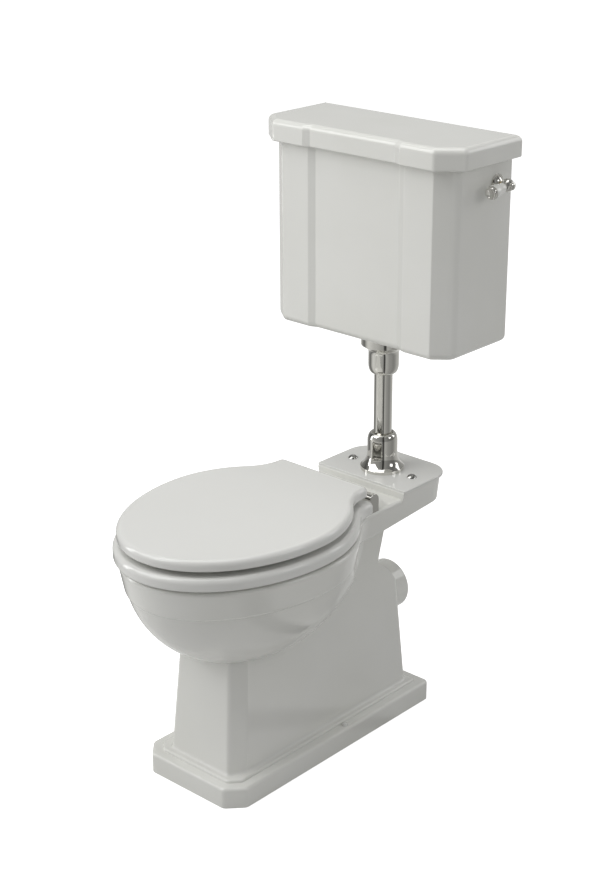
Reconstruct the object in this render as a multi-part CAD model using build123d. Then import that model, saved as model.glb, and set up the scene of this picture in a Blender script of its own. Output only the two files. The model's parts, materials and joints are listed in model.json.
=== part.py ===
from build123d import *
from math import atan, cos, degrees, hypot, radians, sin, sqrt
import os

os.makedirs("parts", exist_ok=True)

# A water closet in four stages: a china pan with a shelf behind its bowl, a short flush pipe that
# stands on the shelf, a china cistern fixed to the wall above it, and a hinged seat and seat lid.
# Millimetres.  The origin is on the floor at the centre of the pan's foot, +Z is up, -Y is the
# front, the wall is on the +Y side, and +X is the right of somebody who faces the toilet.

# ---- Fits -----------------------------------------------------------------------------------
PIN_GAP = 0.05            # radial clearance of a pin, spindle or stem in its hole
SEAT_GAP = 0.3            # gap between a piece that rests or turns and what it rests or turns beside
SCREW_GAP = 0.5           # radial clearance of a screw in a plain hole

# ---- Foot and pedestal ----------------------------------------------------------------------
FOOT_WIDTH = 240
FOOT_LENGTH = 549
FOOT_CUT_X = 29           # front corner cuts
FOOT_CUT_Y = 31
FOOT_CUT_ROUND = 13
FOOT_REAR_CORNER = 10
STEP_HEIGHT = 40          # lower step of the foot moulding
STEP_ROUND = 6
PLINTH_INSET = 19         # upper step
PLINTH_HEIGHT = 5
PLINTH_ROUND = 4.5
PEDESTAL_INSET = 32       # pedestal sides at the top of the plinth, from the edge of the foot
PEDESTAL_LEAN_SIDE = 15.5  # how far each face leans in over the pedestal's height
PEDESTAL_LEAN_FRONT = 31
PEDESTAL_LEAN_REAR = 29
PEDESTAL_CUT_X = 17       # front corner cuts
PEDESTAL_CUT_Y = 32
PEDESTAL_FRONT_ROUND = 8
PEDESTAL_REAR_CORNER = 12
FLARE = 7.5                # hollow round where the pedestal meets the plinth
CHINA = 10                # wall of the pan's castings
FLOOR_SCREW_INSET = 12    # screw line, from the side of the foot
FLOOR_SCREW_Y = 34
FLOOR_SCREW_RADIUS = 3.5
FLOOR_CAP_RADIUS = 6
FLOOR_CAP_HEIGHT = 6
FLOOR_CAP_SKIN = 1.2
FLOOR_SCREW_HEAD = 4.3
FLOOR_SCREW_HEAD_HEIGHT = 3

# ---- Bowl, rim and shelf --------------------------------------------------------------------
PAN_HEIGHT = 448          # top of the rim and the deck behind it
BAND_DEPTH = 58           # height of the rim band
BAND_INSET_SIDE = 12      # how far the band draws in towards its lower edge
BAND_INSET_FRONT = 11
BAND_INSET_REAR = 2
BAND_ROUND = 6            # upper edge
BAND_LOW_ROUND = 8
RIM_WIDEST_Y = -100       # where the rim is widest
RIM_HALF_WIDTH = 193
RIM_REACH = 268           # from the widest line to the front
DECK_HALF_WIDTH = 105
DECK_START_Y = 112        # where the sides become straight
RIM_TURN_IN = 215         # radius where the sides turn in towards the deck
SHELF_CORNER = 50
BOWL_STEP = 2             # the bowl starts this far inside the band's lower edge
BOWL_OVERLAP = 12         # and this far up inside the band
BOWL_HALF_WIDTH = 178     # the bowl is half an ellipsoid
BOWL_HALF_LENGTH = 257
BOWL_DEPTH = 220
BOWL_CENTRE_Y = -105.5
BOWL_BELOW_RIM = 6        # from the rim's top to the ellipsoid's centre
BOWL_WALL = 11
RIM_HOLE_HALF_WIDTH = 136
RIM_HOLE_HALF_LENGTH = 172
RIM_HOLE_Y = -142
RIM_LIP = 10              # wall that hangs from the rim's inner edge and hides the flushing channel
RIM_LIP_DEPTH = 43
RIM_EDGE_ROUND = 7
CHANNEL_HALF = 45         # flushing channel from the inlet to the rim
CHANNEL_HEIGHT = 24
CHANNEL_BEHIND_INLET = 2
PLATFORM_RISE = 13        # the shelf stands this far above the deck
PLATFORM_BEFORE_PIPE = 65
PLATFORM_ROUND = 2.5
SHELF_SLOPE_START_Y = 98  # the shelf's underside rises from here to the back
SHELF_SLOPE_RISE = 22.5
SHELF_CLEAR_OF_WALL = 14

# ---- Trap and outlet ------------------------------------------------------------------------
SUMP_RADIUS = 45
SUMP_Y = -75
SUMP_BOTTOM = 85
TRAP_RADIUS = 34
TRAP_WALL = 9
TRAP_BEND = 45
TRAP_ENTRY_Z = 130
TRAP_LOW_Y = 40
TRAP_CROWN_FROM_END = 128.5  # from the outlet's end
TRAP_CROWN_Z = 250
TRAP_FALL_RUN = 70        # from the weir to where the way out is level
OUTLET_Z = 209.5
OUTLET_RADIUS = 50
OUTLET_SOCKET_RADIUS = 42
OUTLET_SOCKET_DEPTH = 38
OUTLET_BEYOND_FOOT = 19
OUTLET_ROUND = 4
COLLAR_RADIUS = 52        # outlet where it leaves the pedestal
SPIGOT_LENGTH = 40
HUMP_START_Z = 250        # rounded back of the pedestal above the outlet
HUMP_TOP_FROM_REAR = 106.5  # from the rear of the foot
HUMP_TOP_Z = 318
HUMP_BULGE_Y = 6          # how far the hump's arc stands out from the straight line
HUMP_BULGE_Z = 4
NECK_FOOT_RISE = 8
NECK_FOOT_FROM_REAR = 108.5  # face that leans back from the hump to the shelf
NECK_TOP_FROM_REAR = 78.5

# ---- Where the cistern hangs ----------------------------------------------------------------
WALL_BEHIND_FOOT = 82.5
PIPE_FROM_WALL = 92
PIPE_RISE = 278           # from the cover plate to the underside of the cistern
CISTERN_HEIGHT = 345
CISTERN_WIDTH = 420
CISTERN_DEPTH = 180
CISTERN_CUT_X = 34        # front corner cuts
CISTERN_CUT_Y = 27
CISTERN_WALL = 9
CISTERN_FLOOR = 12
CISTERN_SIDE_ROUND = 25   # upright edges between the corner cuts and the sides
CISTERN_LOW_ROUND = 14
CISTERN_INNER_ROUND = 6
CISTERN_INNER_LOW_ROUND = 8
PANEL_HALF_WIDTH = 98     # sunk panel between the two front pilasters
PANEL_DEPTH = 5.5
PANEL_SPLAY = 14
PANEL_ROUND = 4           # upright edges of the panel and of the pilasters
WALL_SCREW_SPACING = 260
WALL_SCREW_BELOW_TOP = 88
WALL_SCREW_RADIUS = 4
LID_THICKNESS = 40
LID_OVERHANG_SIDE = 20
LID_OVERHANG_FRONT = 15
LID_CUT_GROWTH = 10       # how much longer the lid's corner cuts are than the cistern's
LID_CUT_ROUND = 11
LID_SIDE_ROUND = 15
LID_TOP_ROUND = 12
LID_LOW_ROUND = 3
LID_SKIN = 12
LID_LIP_DEPTH = 16        # flange that keeps the lid in the cistern's mouth
LID_LIP_GAP = 2.5
LID_LIP_WIDTH = 8
LID_LIP_ROUND = 5

# ---- Cover plate ----------------------------------------------------------------------------
PLATE_HALF_WIDTH = 109
PLATE_THICKNESS = 4
PLATE_SETBACK = 1
PLATE_OVERHANG_REAR = 5
PLATE_REAR_CORNER = 50
PLATE_FRONT_CORNER = 3
PLATE_ROUND = 1.5
PLATE_SCREW_X = 73.5
PLATE_SCREW_HEAD = 9.5
PLATE_SCREW_HEAD_HEIGHT = 6
PLATE_SCREW_RADIUS = 3
PLATE_SCREW_DEPTH = 26

# ---- Flush pipe and its fittings ------------------------------------------------------------
PIPE_RADIUS = 17.5
PIPE_WALL = 1.5
PIPE_BELOW_PLATE = 35
PIPE_BELOW_CISTERN = 16   # how far below the cistern's floor the pipe stops
INLET_RADIUS = 25
CONE_LENGTH = 20
CONE_TAPER = 2
CONE_TAPER_LENGTH = 8
BELL_BASE_RADIUS = 42
BELL_BASE_ROUND = 3
BELL_NECK_RADIUS = 29
BELL_FLARE_HEIGHT = 33
BELL_HEIGHT = 74
BELL_SHOULDER = 17
BELL_SKIN = 2.5
BELL_COLLAR = 3.5         # width of the lip round the pipe
BELL_LIP = 4
BELL_BASE_PULL = 4.5      # pulls that shape the flare's curve
BELL_NECK_PULL = 16
CUP_NUT_RADIUS = 29
CUP_NUT_TOP = 43          # distances below the cistern
CUP_NUT_SHOULDER = 65
CUP_NUT_BOTTOM = 83
CUP_NUT_GRIP = 16
CUP_NUT_LIP = 4           # width of its lip round the pipe
PIPE_SEAL_HEIGHT = 8
TOP_BELL_RADIUS = 43
TOP_BELL_FLARE = 27       # distance below the cistern where the flare is at its full radius
TOP_BELL_SKIN = 3
TOP_BELL_PULL = 5.5

# ---- Flush valve ----------------------------------------------------------------------------
TAIL_RADIUS = 22          # threaded tail that passes through the cistern's floor
SEAL_RADIUS = 36
SEAL_THICKNESS = 2.5
BACK_NUT_RADIUS = 36
BACK_NUT_HEIGHT = 9
VALVE_FLANGE_HEIGHT = 6
VALVE_SEAT_HEIGHT = 6
VALVE_SEAT_RADIUS = 22
VALVE_SEAT_SLOPE = 2
TOWER_RADIUS = 31
TOWER_WALL = 2.5
TOWER_HEIGHT = 242        # above the valve's flange
TOWER_WINDOWS = 4
TOWER_WINDOW_WIDTH = 24
TOWER_WINDOW_HEIGHT = 40
TOWER_WINDOW_BASE = 10
TOWER_BOSS_RADIUS = 12
TOWER_BOSS_HEIGHT = 6
OVERFLOW_RADIUS = 12
OVERFLOW_BORE = 10
OVERFLOW_BELOW_TOWER = 24
VALVE_DISC_RADIUS = 27
VALVE_DISC_HEIGHT = 8
VALVE_DISC_CHAMFER = 3
CAP_RADIUS = 15
CAP_HEIGHT = 6
CAP_ROUND = 2
STEM_RADIUS = 6
STEM_LENGTH = 36
SPRING_RADIUS = 9.5
SPRING_WIRE = 0.9
SPRING_TURNS = 5

# ---- Flush lever ----------------------------------------------------------------------------
LEVER_FROM_WALL = 43
LEVER_BELOW_TOP = 42
SPINDLE_RADIUS = 5
BUSH_RADIUS = 9
BUSH_STAND_OUT = 4
BUSH_STAND_IN = 12
BUSH_NUT_RADIUS = 14
BUSH_NUT_WIDTH = 6
ROSETTE_RADIUS = 17
ROSETTE_HEIGHT = 10
ROSETTE_RIM_HEIGHT = 2
ROSETTE_STEP = 2          # the dome starts this far inside the rim
KNUCKLE_FROM_CISTERN = 23
KNUCKLE_RADIUS = 12
LEVER_DROOP = 7           # degrees below level at rest
HANDLE_START = 13         # distances along the handle, forward from the knuckle's centre
HANDLE_LENGTH = 31
HANDLE_ROOT_RADIUS = 8.5
HANDLE_ROOT_ROUND = 2
HANDLE_TIP_RADIUS = 12.5
HANDLE_ROD_RADIUS = 4
HANDLE_CAP_RADIUS = 11.5
HANDLE_CAP_LENGTH = 7
HANDLE_CAP_DISH = 2.5
HANDLE_CAP_ROUND = 2.5
HANDLE_CAP_RIM = 3
SPINDLE_NUT_RADIUS = 6.9
SPINDLE_NUT_SIDE = 0.5    # its straight side beyond the knuckle
SPINDLE_NUT_DOME = 2.5
CRANK_RADIUS = 10
CRANK_WIDTH = 16
CRANK_ARM_HEIGHT = 8
CRANK_TIP_RADIUS = 5
CRANK_SCREW_RADIUS = 2
CRANK_SCREW_SUNK = 0.5

# ---- Fill valve and float -------------------------------------------------------------------
FILL_BELOW_TOP = 53
FILL_SHANK_RADIUS = 11.5  # through the cistern's side and the nut
FILL_THREAD_RADIUS = 10.5
FILL_STUB = 25
FILL_NUT_RADIUS = 17
FILL_NUT_WIDTH = 6
FILL_WASHER_WIDTH = 3
FILL_BODY_RADIUS = 14.5
FILL_BODY_LENGTH = 34
FILL_BORE = 5
PISTON_RADIUS = 4.5
PISTON_LENGTH = 16
PISTON_STAND_OUT = 2
FORK_LENGTH = 12
FORK_THICKNESS = 3
FORK_ROOT = 4             # how far the ears run back along the barrel
FORK_EAR = 5              # from the arm's pin to the ears' edges
SPOUT_RADIUS = 7
SPOUT_BORE = 5
SPOUT_LENGTH = 22
SPOUT_ROOT = 4
ARM_PIVOT_DROP = 8
ARM_PIN_RADIUS = 2
ARM_WIDTH = 8
ARM_THICKNESS = 5
TOE_OVERREACH = 2         # how far the toe reaches past the piston's middle
TOE_THICKNESS = 5
ARM_LENGTH = 78
ARM_SLOPE = 38            # degrees below level when the cistern is full
FLOAT_LENGTH = 62
FLOAT_WIDTH = 88
FLOAT_HEIGHT = 40
FLOAT_ROUND = 8

# ---- Seat, lid and hinge --------------------------------------------------------------------
SEAT_WIDEST_Y = -118      # where the ring and the lid are widest
RING_CLEARANCE = 6.5      # from the rim to the underside of the ring
RING_THICKNESS = 23.5
RING_HALF_WIDTH = 194.5
RING_REACH = 257
RING_TAIL_HALF = 116
RING_TAIL_Y = 94
RING_TURN_IN = 250
RING_REAR_Y = 107
RING_CORNER = 12
RING_TOP_ROUND = 10
RING_LOW_ROUND = 4
RING_HOLE_HALF_WIDTH = 115
RING_HOLE_HALF_LENGTH = 142.5
RING_HOLE_Y = -147.5
COVER_GAP = 10            # from the ring to the seat lid
COVER_THICKNESS = 20
COVER_HALF_WIDTH = 188.5
COVER_REACH = 249
COVER_TAIL_HALF = 108
COVER_TAIL_Y = 87
COVER_TURN_IN = 215
COVER_REAR_Y = 99
COVER_CORNER = 11
COVER_TOP_ROUND = 10
COVER_LOW_ROUND = 4
BUFFER_RADIUS = 8
BUFFER_ROUND = 1.5
FRONT_BUFFER_X = 88
FRONT_BUFFER_Y = -292
REAR_RING_BUFFER_X = 130
REAR_COVER_BUFFER_X = 100
REAR_BUFFER_Y = -20
HINGE_Y = 121
HINGE_RISE = 23           # hinge axis above the deck
ROD_RADIUS = 4
HINGE_KNUCKLE_RADIUS = 8
PILLAR_X = 93
PILLAR_WIDTH = 18
PILLAR_RADIUS = 13
PILLAR_SKIN = 3
PILLAR_ROUND = 1.2
RING_STRAP_X = 70
COVER_STRAP_X = 47
STRAP_WIDTH = 18
STRAP_THICKNESS = 3
STRAP_LENGTH = 52         # plate in front of the knuckle
STRAP_SCREW_FROM_REAR = 10  # rear screw, from the nearer seat edge
STRAP_SCREW_FROM_END = 6
STRAP_SCREW_RADIUS = 1.8
STRAP_SCREW_HEAD = 3.5
STRAP_SCREW_HEAD_HEIGHT = 1.6
STRAP_SCREW_DEPTH = 12
STUD_OFFSET = 2           # the pillars' fixings lie this far inside their middle
STUD_COLLAR_RADIUS = 5
STUD_RADIUS = 2.5
STUD_BUSH_RADIUS = 5
STUD_BUSH_DEPTH = 24
STUD_COLLAR_HEIGHT = 13
STUD_ABOVE_BUSH_END = 3

# ---- Levels and lines that follow from the sizes above --------------------------------------
FOOT_FRONT_Y = -FOOT_LENGTH / 2
FOOT_REAR_Y = FOOT_LENGTH / 2
FLOOR_SCREW_X = FOOT_WIDTH / 2 - FLOOR_SCREW_INSET
PLINTH_TOP = STEP_HEIGHT + PLINTH_HEIGHT
BAND_LOW = PAN_HEIGHT - BAND_DEPTH
SHELF_TOP = PAN_HEIGHT + PLATFORM_RISE
PLATE_TOP = SHELF_TOP + PLATE_THICKNESS
WALL_Y = FOOT_REAR_Y + WALL_BEHIND_FOOT
SHELF_REAR_Y = WALL_Y - SHELF_CLEAR_OF_WALL
PIPE_Y = WALL_Y - PIPE_FROM_WALL
PLATFORM_START_Y = PIPE_Y - PLATFORM_BEFORE_PIPE
OUTLET_END_Y = FOOT_REAR_Y + OUTLET_BEYOND_FOOT
TRAP_CROWN_Y = OUTLET_END_Y - TRAP_CROWN_FROM_END
HUMP_TOP_Y = FOOT_REAR_Y - HUMP_TOP_FROM_REAR
NECK_FOOT_Y = FOOT_REAR_Y - NECK_FOOT_FROM_REAR
NECK_TOP_Y = FOOT_REAR_Y - NECK_TOP_FROM_REAR
BOWL_CENTRE_Z = PAN_HEIGHT - BOWL_BELOW_RIM
CISTERN_LOW = PLATE_TOP + PIPE_RISE
CISTERN_TOP = CISTERN_LOW + CISTERN_HEIGHT
LID_TOP = CISTERN_TOP + LID_THICKNESS
CISTERN_FRONT_Y = WALL_Y - CISTERN_DEPTH
CISTERN_FLOOR_TOP = CISTERN_LOW + CISTERN_FLOOR
CISTERN_SIDE_X = CISTERN_WIDTH / 2
CISTERN_INNER_X = CISTERN_SIDE_X - CISTERN_WALL
CHANNEL_TOP = PAN_HEIGHT - CHINA
CHANNEL_LOW = CHANNEL_TOP - CHANNEL_HEIGHT
PIPE_HOLE_RADIUS = PIPE_RADIUS + PIN_GAP
TAIL_HOLE_RADIUS = TAIL_RADIUS + SCREW_GAP
TAIL_BOTTOM = CISTERN_LOW - CUP_NUT_BOTTOM + CUP_NUT_GRIP + PIPE_SEAL_HEIGHT
SEAL_TOP = CISTERN_FLOOR_TOP + SEAL_THICKNESS
FLANGE_TOP = SEAL_TOP + VALVE_FLANGE_HEIGHT
VALVE_SEAT_TOP = FLANGE_TOP + VALVE_SEAT_HEIGHT
TOWER_TOP = FLANGE_TOP + TOWER_HEIGHT
TOWER_BOSS_TOP = TOWER_TOP + TOWER_BOSS_HEIGHT
LEVER_Y = WALL_Y - LEVER_FROM_WALL
LEVER_Z = CISTERN_TOP - LEVER_BELOW_TOP
CAP_TOP = LEVER_Z - CRANK_TIP_RADIUS - SEAT_GAP
CAP_LOW = CAP_TOP - CAP_HEIGHT
KNUCKLE_X = CISTERN_SIDE_X + KNUCKLE_FROM_CISTERN
SPINDLE_END_X = KNUCKLE_X + KNUCKLE_RADIUS
HANDLE_ROD_START = SPINDLE_RADIUS + 2 * SEAT_GAP
HANDLE_END = HANDLE_START + HANDLE_LENGTH
FILL_Z = CISTERN_TOP - FILL_BELOW_TOP
FILL_NUT_X = -CISTERN_SIDE_X - FILL_NUT_WIDTH
BARREL_START_X = FILL_WASHER_WIDTH - CISTERN_INNER_X
BARREL_END_X = BARREL_START_X + FILL_BODY_LENGTH
ARM_PIVOT_X = BARREL_END_X + FORK_LENGTH
ARM_PIVOT_Z = FILL_Z - ARM_PIVOT_DROP
HINGE_Z = PAN_HEIGHT + HINGE_RISE
STUD_X = PILLAR_X - STUD_OFFSET
STUD_LOW = PAN_HEIGHT - STUD_BUSH_DEPTH + STUD_ABOVE_BUSH_END
RING_LOW = PAN_HEIGHT + RING_CLEARANCE
RING_TOP = RING_LOW + RING_THICKNESS
COVER_LOW = RING_TOP + COVER_GAP
COVER_TOP = COVER_LOW + COVER_THICKNESS
ROD_HOLE_RADIUS = ROD_RADIUS + PIN_GAP


# ---- Shared shapes --------------------------------------------------------------------------
def box(x_low, x_high, y_low, y_high, z_low, z_high):
    """Box between two corners."""
    size = Box(x_high - x_low, y_high - y_low, z_high - z_low)
    return Pos((x_low + x_high) / 2, (y_low + y_high) / 2, (z_low + z_high) / 2) * size


def post(radius, z_low, z_high, x=0, y=PIPE_Y):
    """Upright cylinder between two levels."""
    return Pos(x, y, (z_low + z_high) / 2) * Cylinder(radius, z_high - z_low)


def tube(radius, bore, z_low, z_high, x=0, y=PIPE_Y):
    """Upright tube between two levels."""
    return post(radius, z_low, z_high, x, y) - post(bore, z_low - 1, z_high + 1, x, y)


def bar(radius, x_low, x_high, y, z):
    """Cylinder along X."""
    return Pos((x_low + x_high) / 2, y, z) * Rot(0, 90, 0) * Cylinder(radius, x_high - x_low)


def rod_y(radius, y_low, y_high, x, z):
    """Cylinder along Y."""
    return Pos(x, (y_low + y_high) / 2, z) * Rot(90, 0, 0) * Cylinder(radius, y_high - y_low)


def prism(face, z_low, z_high):
    """A face drawn at level 0, carried up from one level to another."""
    return Pos(0, 0, z_low) * extrude(face, z_high - z_low, dir=(0, 0, 1))


def hexagon_post(radius, z_low, z_high, y=PIPE_Y):
    """Upright six-sided nut blank, radius to its corners."""
    return prism(Pos(0, y, 0) * RegularPolygon(radius, 6), z_low, z_high)


def turned(*corners, y=PIPE_Y):
    """Solid turned about the upright line through the flush pipe, from (radius, z) corners."""
    profile = Plane.XZ * Polygon(*corners, align=None)
    return Pos(0, y, 0) * revolve(profile, Axis.Z)


def dome(radius, height):
    """Cap of a ball that stands on the origin."""
    ball_radius = (radius**2 + height**2) / (2 * height)
    ball = Pos(0, 0, height - ball_radius) * Sphere(ball_radius)
    return ball & post(radius, 0, height, y=0)


def domed_screw(head_radius, head_height, radius, depth):
    """Round-headed screw that points down from the origin."""
    return dome(head_radius, head_height) + post(radius, -depth, 0, y=0)


def mirrored(shape):
    """The shape and its mirror image on the other side of the toilet."""
    return Compound([shape, mirror(shape, about=Plane.YZ)])


def grouped(shapes):
    """Like solids that share one node."""
    return Compound([solid for shape in shapes for solid in shape.solids()])


def oval_with_tail(half_width, widest_y, reach, tail_half, tail_y, turn_in, rear_y, corner):
    """Level face: half an ellipse in front, then two tangent arcs that draw in to a straight tail."""
    run = tail_y - widest_y
    turn = 2 * atan((half_width - tail_half) / run)
    turn_out = run / sin(turn) - turn_in
    nose = EllipticalCenterArc((0, widest_y), half_width, reach, 270, arc_size=90)
    draw_in = JernArc(nose @ 1, (0, 1), turn_in, degrees(turn))
    draw_out = JernArc(draw_in @ 1, draw_in % 1, turn_out, -degrees(turn))
    tail = Line(draw_out @ 1, (tail_half, rear_y - corner))
    bend = JernArc(tail @ 1, (0, 1), corner, 90)
    back = Line(bend @ 1, (0, rear_y))
    right = nose + draw_in + draw_out + tail + bend + back
    return make_face(right + mirror(right, about=Plane.YZ))


def outer_edges(solid, z):
    """Edges of the level outer loop at a height."""
    level = [face for face in solid.faces() if abs(face.center().Z - z) < 0.01]
    widest = max(level, key=lambda face: face.area)
    return widest.outer_wire().edges()


# ---- Pan ------------------------------------------------------------------------------------
def foot_outline(inset):
    """The foot's outline, drawn in by the inset: cut front corners, small rear corners."""
    half = FOOT_WIDTH / 2 - inset
    front = FOOT_FRONT_Y + inset
    rear = FOOT_REAR_Y - inset
    shrink = inset * (FOOT_CUT_X + FOOT_CUT_Y - hypot(FOOT_CUT_X, FOOT_CUT_Y))
    cut_x = FOOT_CUT_X - shrink / FOOT_CUT_Y
    cut_y = FOOT_CUT_Y - shrink / FOOT_CUT_X
    corners = [(half - cut_x, front), (half, front + cut_y), (half, rear)]
    left = [(-x, y) for x, y in reversed(corners)]
    face = Polygon(*corners, *left, align=None)
    rear_corner = max(FOOT_REAR_CORNER - inset, PLINTH_ROUND + 1)
    face = fillet(face.vertices().group_by(Axis.Y)[-1], rear_corner)
    return fillet([corner for corner in face.vertices() if corner.Y < 0], FOOT_CUT_ROUND)


def foot():
    """Two rounded steps."""
    step = prism(foot_outline(0), 0, STEP_HEIGHT)
    step = fillet(outer_edges(step, STEP_HEIGHT), STEP_ROUND)
    plinth = prism(foot_outline(PLINTH_INSET), 0, PLINTH_TOP)
    plinth = fillet(outer_edges(plinth, PLINTH_TOP), PLINTH_ROUND)
    return step + plinth


def pedestal_section(z, inset):
    """Level section of the pedestal, drawn in by the inset."""
    share = (z - PLINTH_TOP) / (BAND_LOW - PLINTH_TOP)
    half = FOOT_WIDTH / 2 - PEDESTAL_INSET - share * PEDESTAL_LEAN_SIDE - inset
    front = FOOT_FRONT_Y + PEDESTAL_INSET + share * PEDESTAL_LEAN_FRONT + inset
    rear = FOOT_REAR_Y - PEDESTAL_INSET - share * PEDESTAL_LEAN_REAR - inset
    cut_x = PEDESTAL_CUT_X
    cut_y = PEDESTAL_CUT_Y
    corners = [(half - cut_x, front), (half, front + cut_y), (half, rear)]
    left = [(-x, y) for x, y in reversed(corners)]
    return Pos(0, 0, z) * Polygon(*corners, *left, align=None)


def upright_edges(solid, side):
    """Nearly upright edges in front (-1) or behind (+1)."""
    edges = [edge for edge in solid.edges() if abs(edge.tangent_at(0.5).Z) > 0.9]
    return [edge for edge in edges if edge.center().Y * side > 0]


def pedestal_solid(inset, z_low, z_high):
    """Leaning prism with cut front corners and rounded rear ones."""
    solid = loft([pedestal_section(z_low, inset), pedestal_section(z_high, inset)], ruled=True)
    solid = fillet(upright_edges(solid, 1), PEDESTAL_REAR_CORNER)
    return fillet(upright_edges(solid, -1), PEDESTAL_FRONT_ROUND)


def on_pedestal(edge):
    """True for an edge on the line where the pedestal meets the plinth."""
    half = FOOT_WIDTH / 2 - PEDESTAL_INSET
    inside = max(abs(edge.position_at(t).X) for t in (0, 0.5, 1)) < half + 1
    middle = edge.position_at(0.5)
    return inside and FOOT_FRONT_Y + PEDESTAL_INSET - 1 < middle.Y < FOOT_REAR_Y - PEDESTAL_INSET + 1


def hump_cut():
    """Everything behind the neck and above the rounded back of the trap."""
    share = (HUMP_START_Z - PLINTH_TOP) / (BAND_LOW - PLINTH_TOP)
    rear_y = FOOT_REAR_Y - PEDESTAL_INSET - PEDESTAL_LEAN_REAR * share
    top_z = BAND_LOW + SHELF_SLOPE_RISE
    middle_y = (rear_y + HUMP_TOP_Y) / 2 + HUMP_BULGE_Y
    middle_z = (HUMP_START_Z + HUMP_TOP_Z) / 2 + HUMP_BULGE_Z
    hump = ThreePointArc((rear_y, HUMP_START_Z), (middle_y, middle_z), (HUMP_TOP_Y, HUMP_TOP_Z))
    rest = Polyline(
        (HUMP_TOP_Y, HUMP_TOP_Z),
        (NECK_FOOT_Y, HUMP_TOP_Z + NECK_FOOT_RISE),
        (NECK_TOP_Y, top_z),
        (FOOT_REAR_Y, top_z),
        (FOOT_REAR_Y, HUMP_START_Z),
        (rear_y, HUMP_START_Z),
    )
    profile = Plane.YZ * make_face(hump + rest)
    return extrude(profile, FOOT_WIDTH / 2, both=True)


def bowl_solid(wall):
    """The ellipsoid that the bowl is half of, drawn in by a wall."""
    radii = (BOWL_HALF_WIDTH - wall, BOWL_HALF_LENGTH - wall, BOWL_DEPTH - wall)
    return Pos(0, BOWL_CENTRE_Y, BOWL_CENTRE_Z) * scale(Rot(0, 90, 0) * Sphere(1), by=radii)


def band_outline(z, inset=0):
    """Outline, drawn at level 0, of the band, deck and shelf at a height: they draw in downwards."""
    share = (PAN_HEIGHT - z) / BAND_DEPTH
    side = share * BAND_INSET_SIDE + inset
    return oval_with_tail(
        RIM_HALF_WIDTH - side,
        RIM_WIDEST_Y,
        RIM_REACH - share * BAND_INSET_FRONT - inset,
        DECK_HALF_WIDTH - side,
        DECK_START_Y,
        RIM_TURN_IN,
        SHELF_REAR_Y - share * BAND_INSET_REAR - inset,
        SHELF_CORNER - side,
    )


def band_loft(z_high):
    """Solid between the band's lower edge and a height."""
    sections = [Pos(0, 0, z) * band_outline(z) for z in (BAND_LOW, z_high)]
    return loft(sections, ruled=True)


def band_and_shelf():
    """Rim band and deck, with the shelf a step higher behind them and its underside sloping up."""
    size = FOOT_LENGTH
    band = band_loft(PAN_HEIGHT)
    band = fillet(outer_edges(band, PAN_HEIGHT), BAND_ROUND)
    band = fillet(outer_edges(band, BAND_LOW), BAND_LOW_ROUND)
    band -= box(-size, size, PLATFORM_START_Y, size, 0, SHELF_TOP + 1)
    shelf = band_loft(SHELF_TOP)
    shelf -= box(-size, size, -size, PLATFORM_START_Y, 0, SHELF_TOP + 1)
    shelf = fillet(outer_edges(shelf, SHELF_TOP), PLATFORM_ROUND)
    slope = Plane.YZ * Polygon(
        (SHELF_SLOPE_START_Y, BAND_LOW),
        (SHELF_REAR_Y + 1, BAND_LOW + SHELF_SLOPE_RISE),
        (SHELF_REAR_Y + 1, BAND_LOW - 1),
        (SHELF_SLOPE_START_Y, BAND_LOW - 1),
        align=None,
    )
    return band + shelf - extrude(slope, RIM_HALF_WIDTH, both=True)


def trap_path():
    """Line of the water's way from the sump over the weir to the outlet."""
    points = [
        (0, SUMP_Y, TRAP_ENTRY_Z),
        (0, TRAP_LOW_Y, TRAP_ENTRY_Z),
        (0, TRAP_CROWN_Y, TRAP_CROWN_Z),
        (0, TRAP_CROWN_Y + TRAP_FALL_RUN, OUTLET_Z),
        (0, OUTLET_END_Y - OUTLET_SOCKET_DEPTH, OUTLET_Z),
    ]
    return FilletPolyline(*points, radius=TRAP_BEND)


def waterway(wall):
    """Sump and trap, thickened by a wall."""
    path = trap_path()
    trap = sweep(Plane(path @ 0, z_dir=path % 0) * Circle(TRAP_RADIUS + wall), path=path)
    radius = SUMP_RADIUS + wall
    centre_z = SUMP_BOTTOM + SUMP_RADIUS
    bowl_low = BOWL_CENTRE_Z - BOWL_DEPTH + BOWL_WALL
    sump = post(radius, centre_z, bowl_low + 2 * BOWL_WALL, y=SUMP_Y)
    return trap + sump + Pos(0, SUMP_Y, centre_z) * Sphere(radius)


def pan_hollow():
    """The casting is open underneath: the space between its skin, the bowl and the waterway."""
    deep = pedestal_solid(CHINA, -1, BAND_LOW - CHINA)
    low_z = HUMP_START_Z - 1.5 * CHINA
    behind = box(-FOOT_WIDTH, FOOT_WIDTH, NECK_FOOT_Y - CHINA, FOOT_LENGTH, low_z, PAN_HEIGHT)
    return deep - behind - bowl_solid(0) - waterway(TRAP_WALL)


def rim_hole(grow, z_low, z_high):
    """Oval opening of the rim between two levels, widened by some amount."""
    face = Pos(0, RIM_HOLE_Y, 0) * Ellipse(RIM_HOLE_HALF_WIDTH + grow, RIM_HOLE_HALF_LENGTH + grow)
    return prism(face, z_low, z_high)


def foot_hollow():
    """Recess under the foot, with a boss left round each floor screw."""
    recess = prism(foot_outline(CHINA), -1, STEP_HEIGHT - CHINA)
    for side in (-1, 1):
        recess -= post(FLOOR_SCREW_INSET, -1, STEP_HEIGHT, side * FLOOR_SCREW_X, FLOOR_SCREW_Y)
    return recess


def in_rim_hole(edge):
    """True for an edge of the rim's opening at the top of the rim."""
    start = edge.position_at(0)
    level = abs(edge.center().Z - PAN_HEIGHT) < 0.01
    near = abs(start.Y - RIM_HOLE_Y) < RIM_HOLE_HALF_LENGTH + 1
    return level and near and abs(start.X) < RIM_HOLE_HALF_WIDTH


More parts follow.
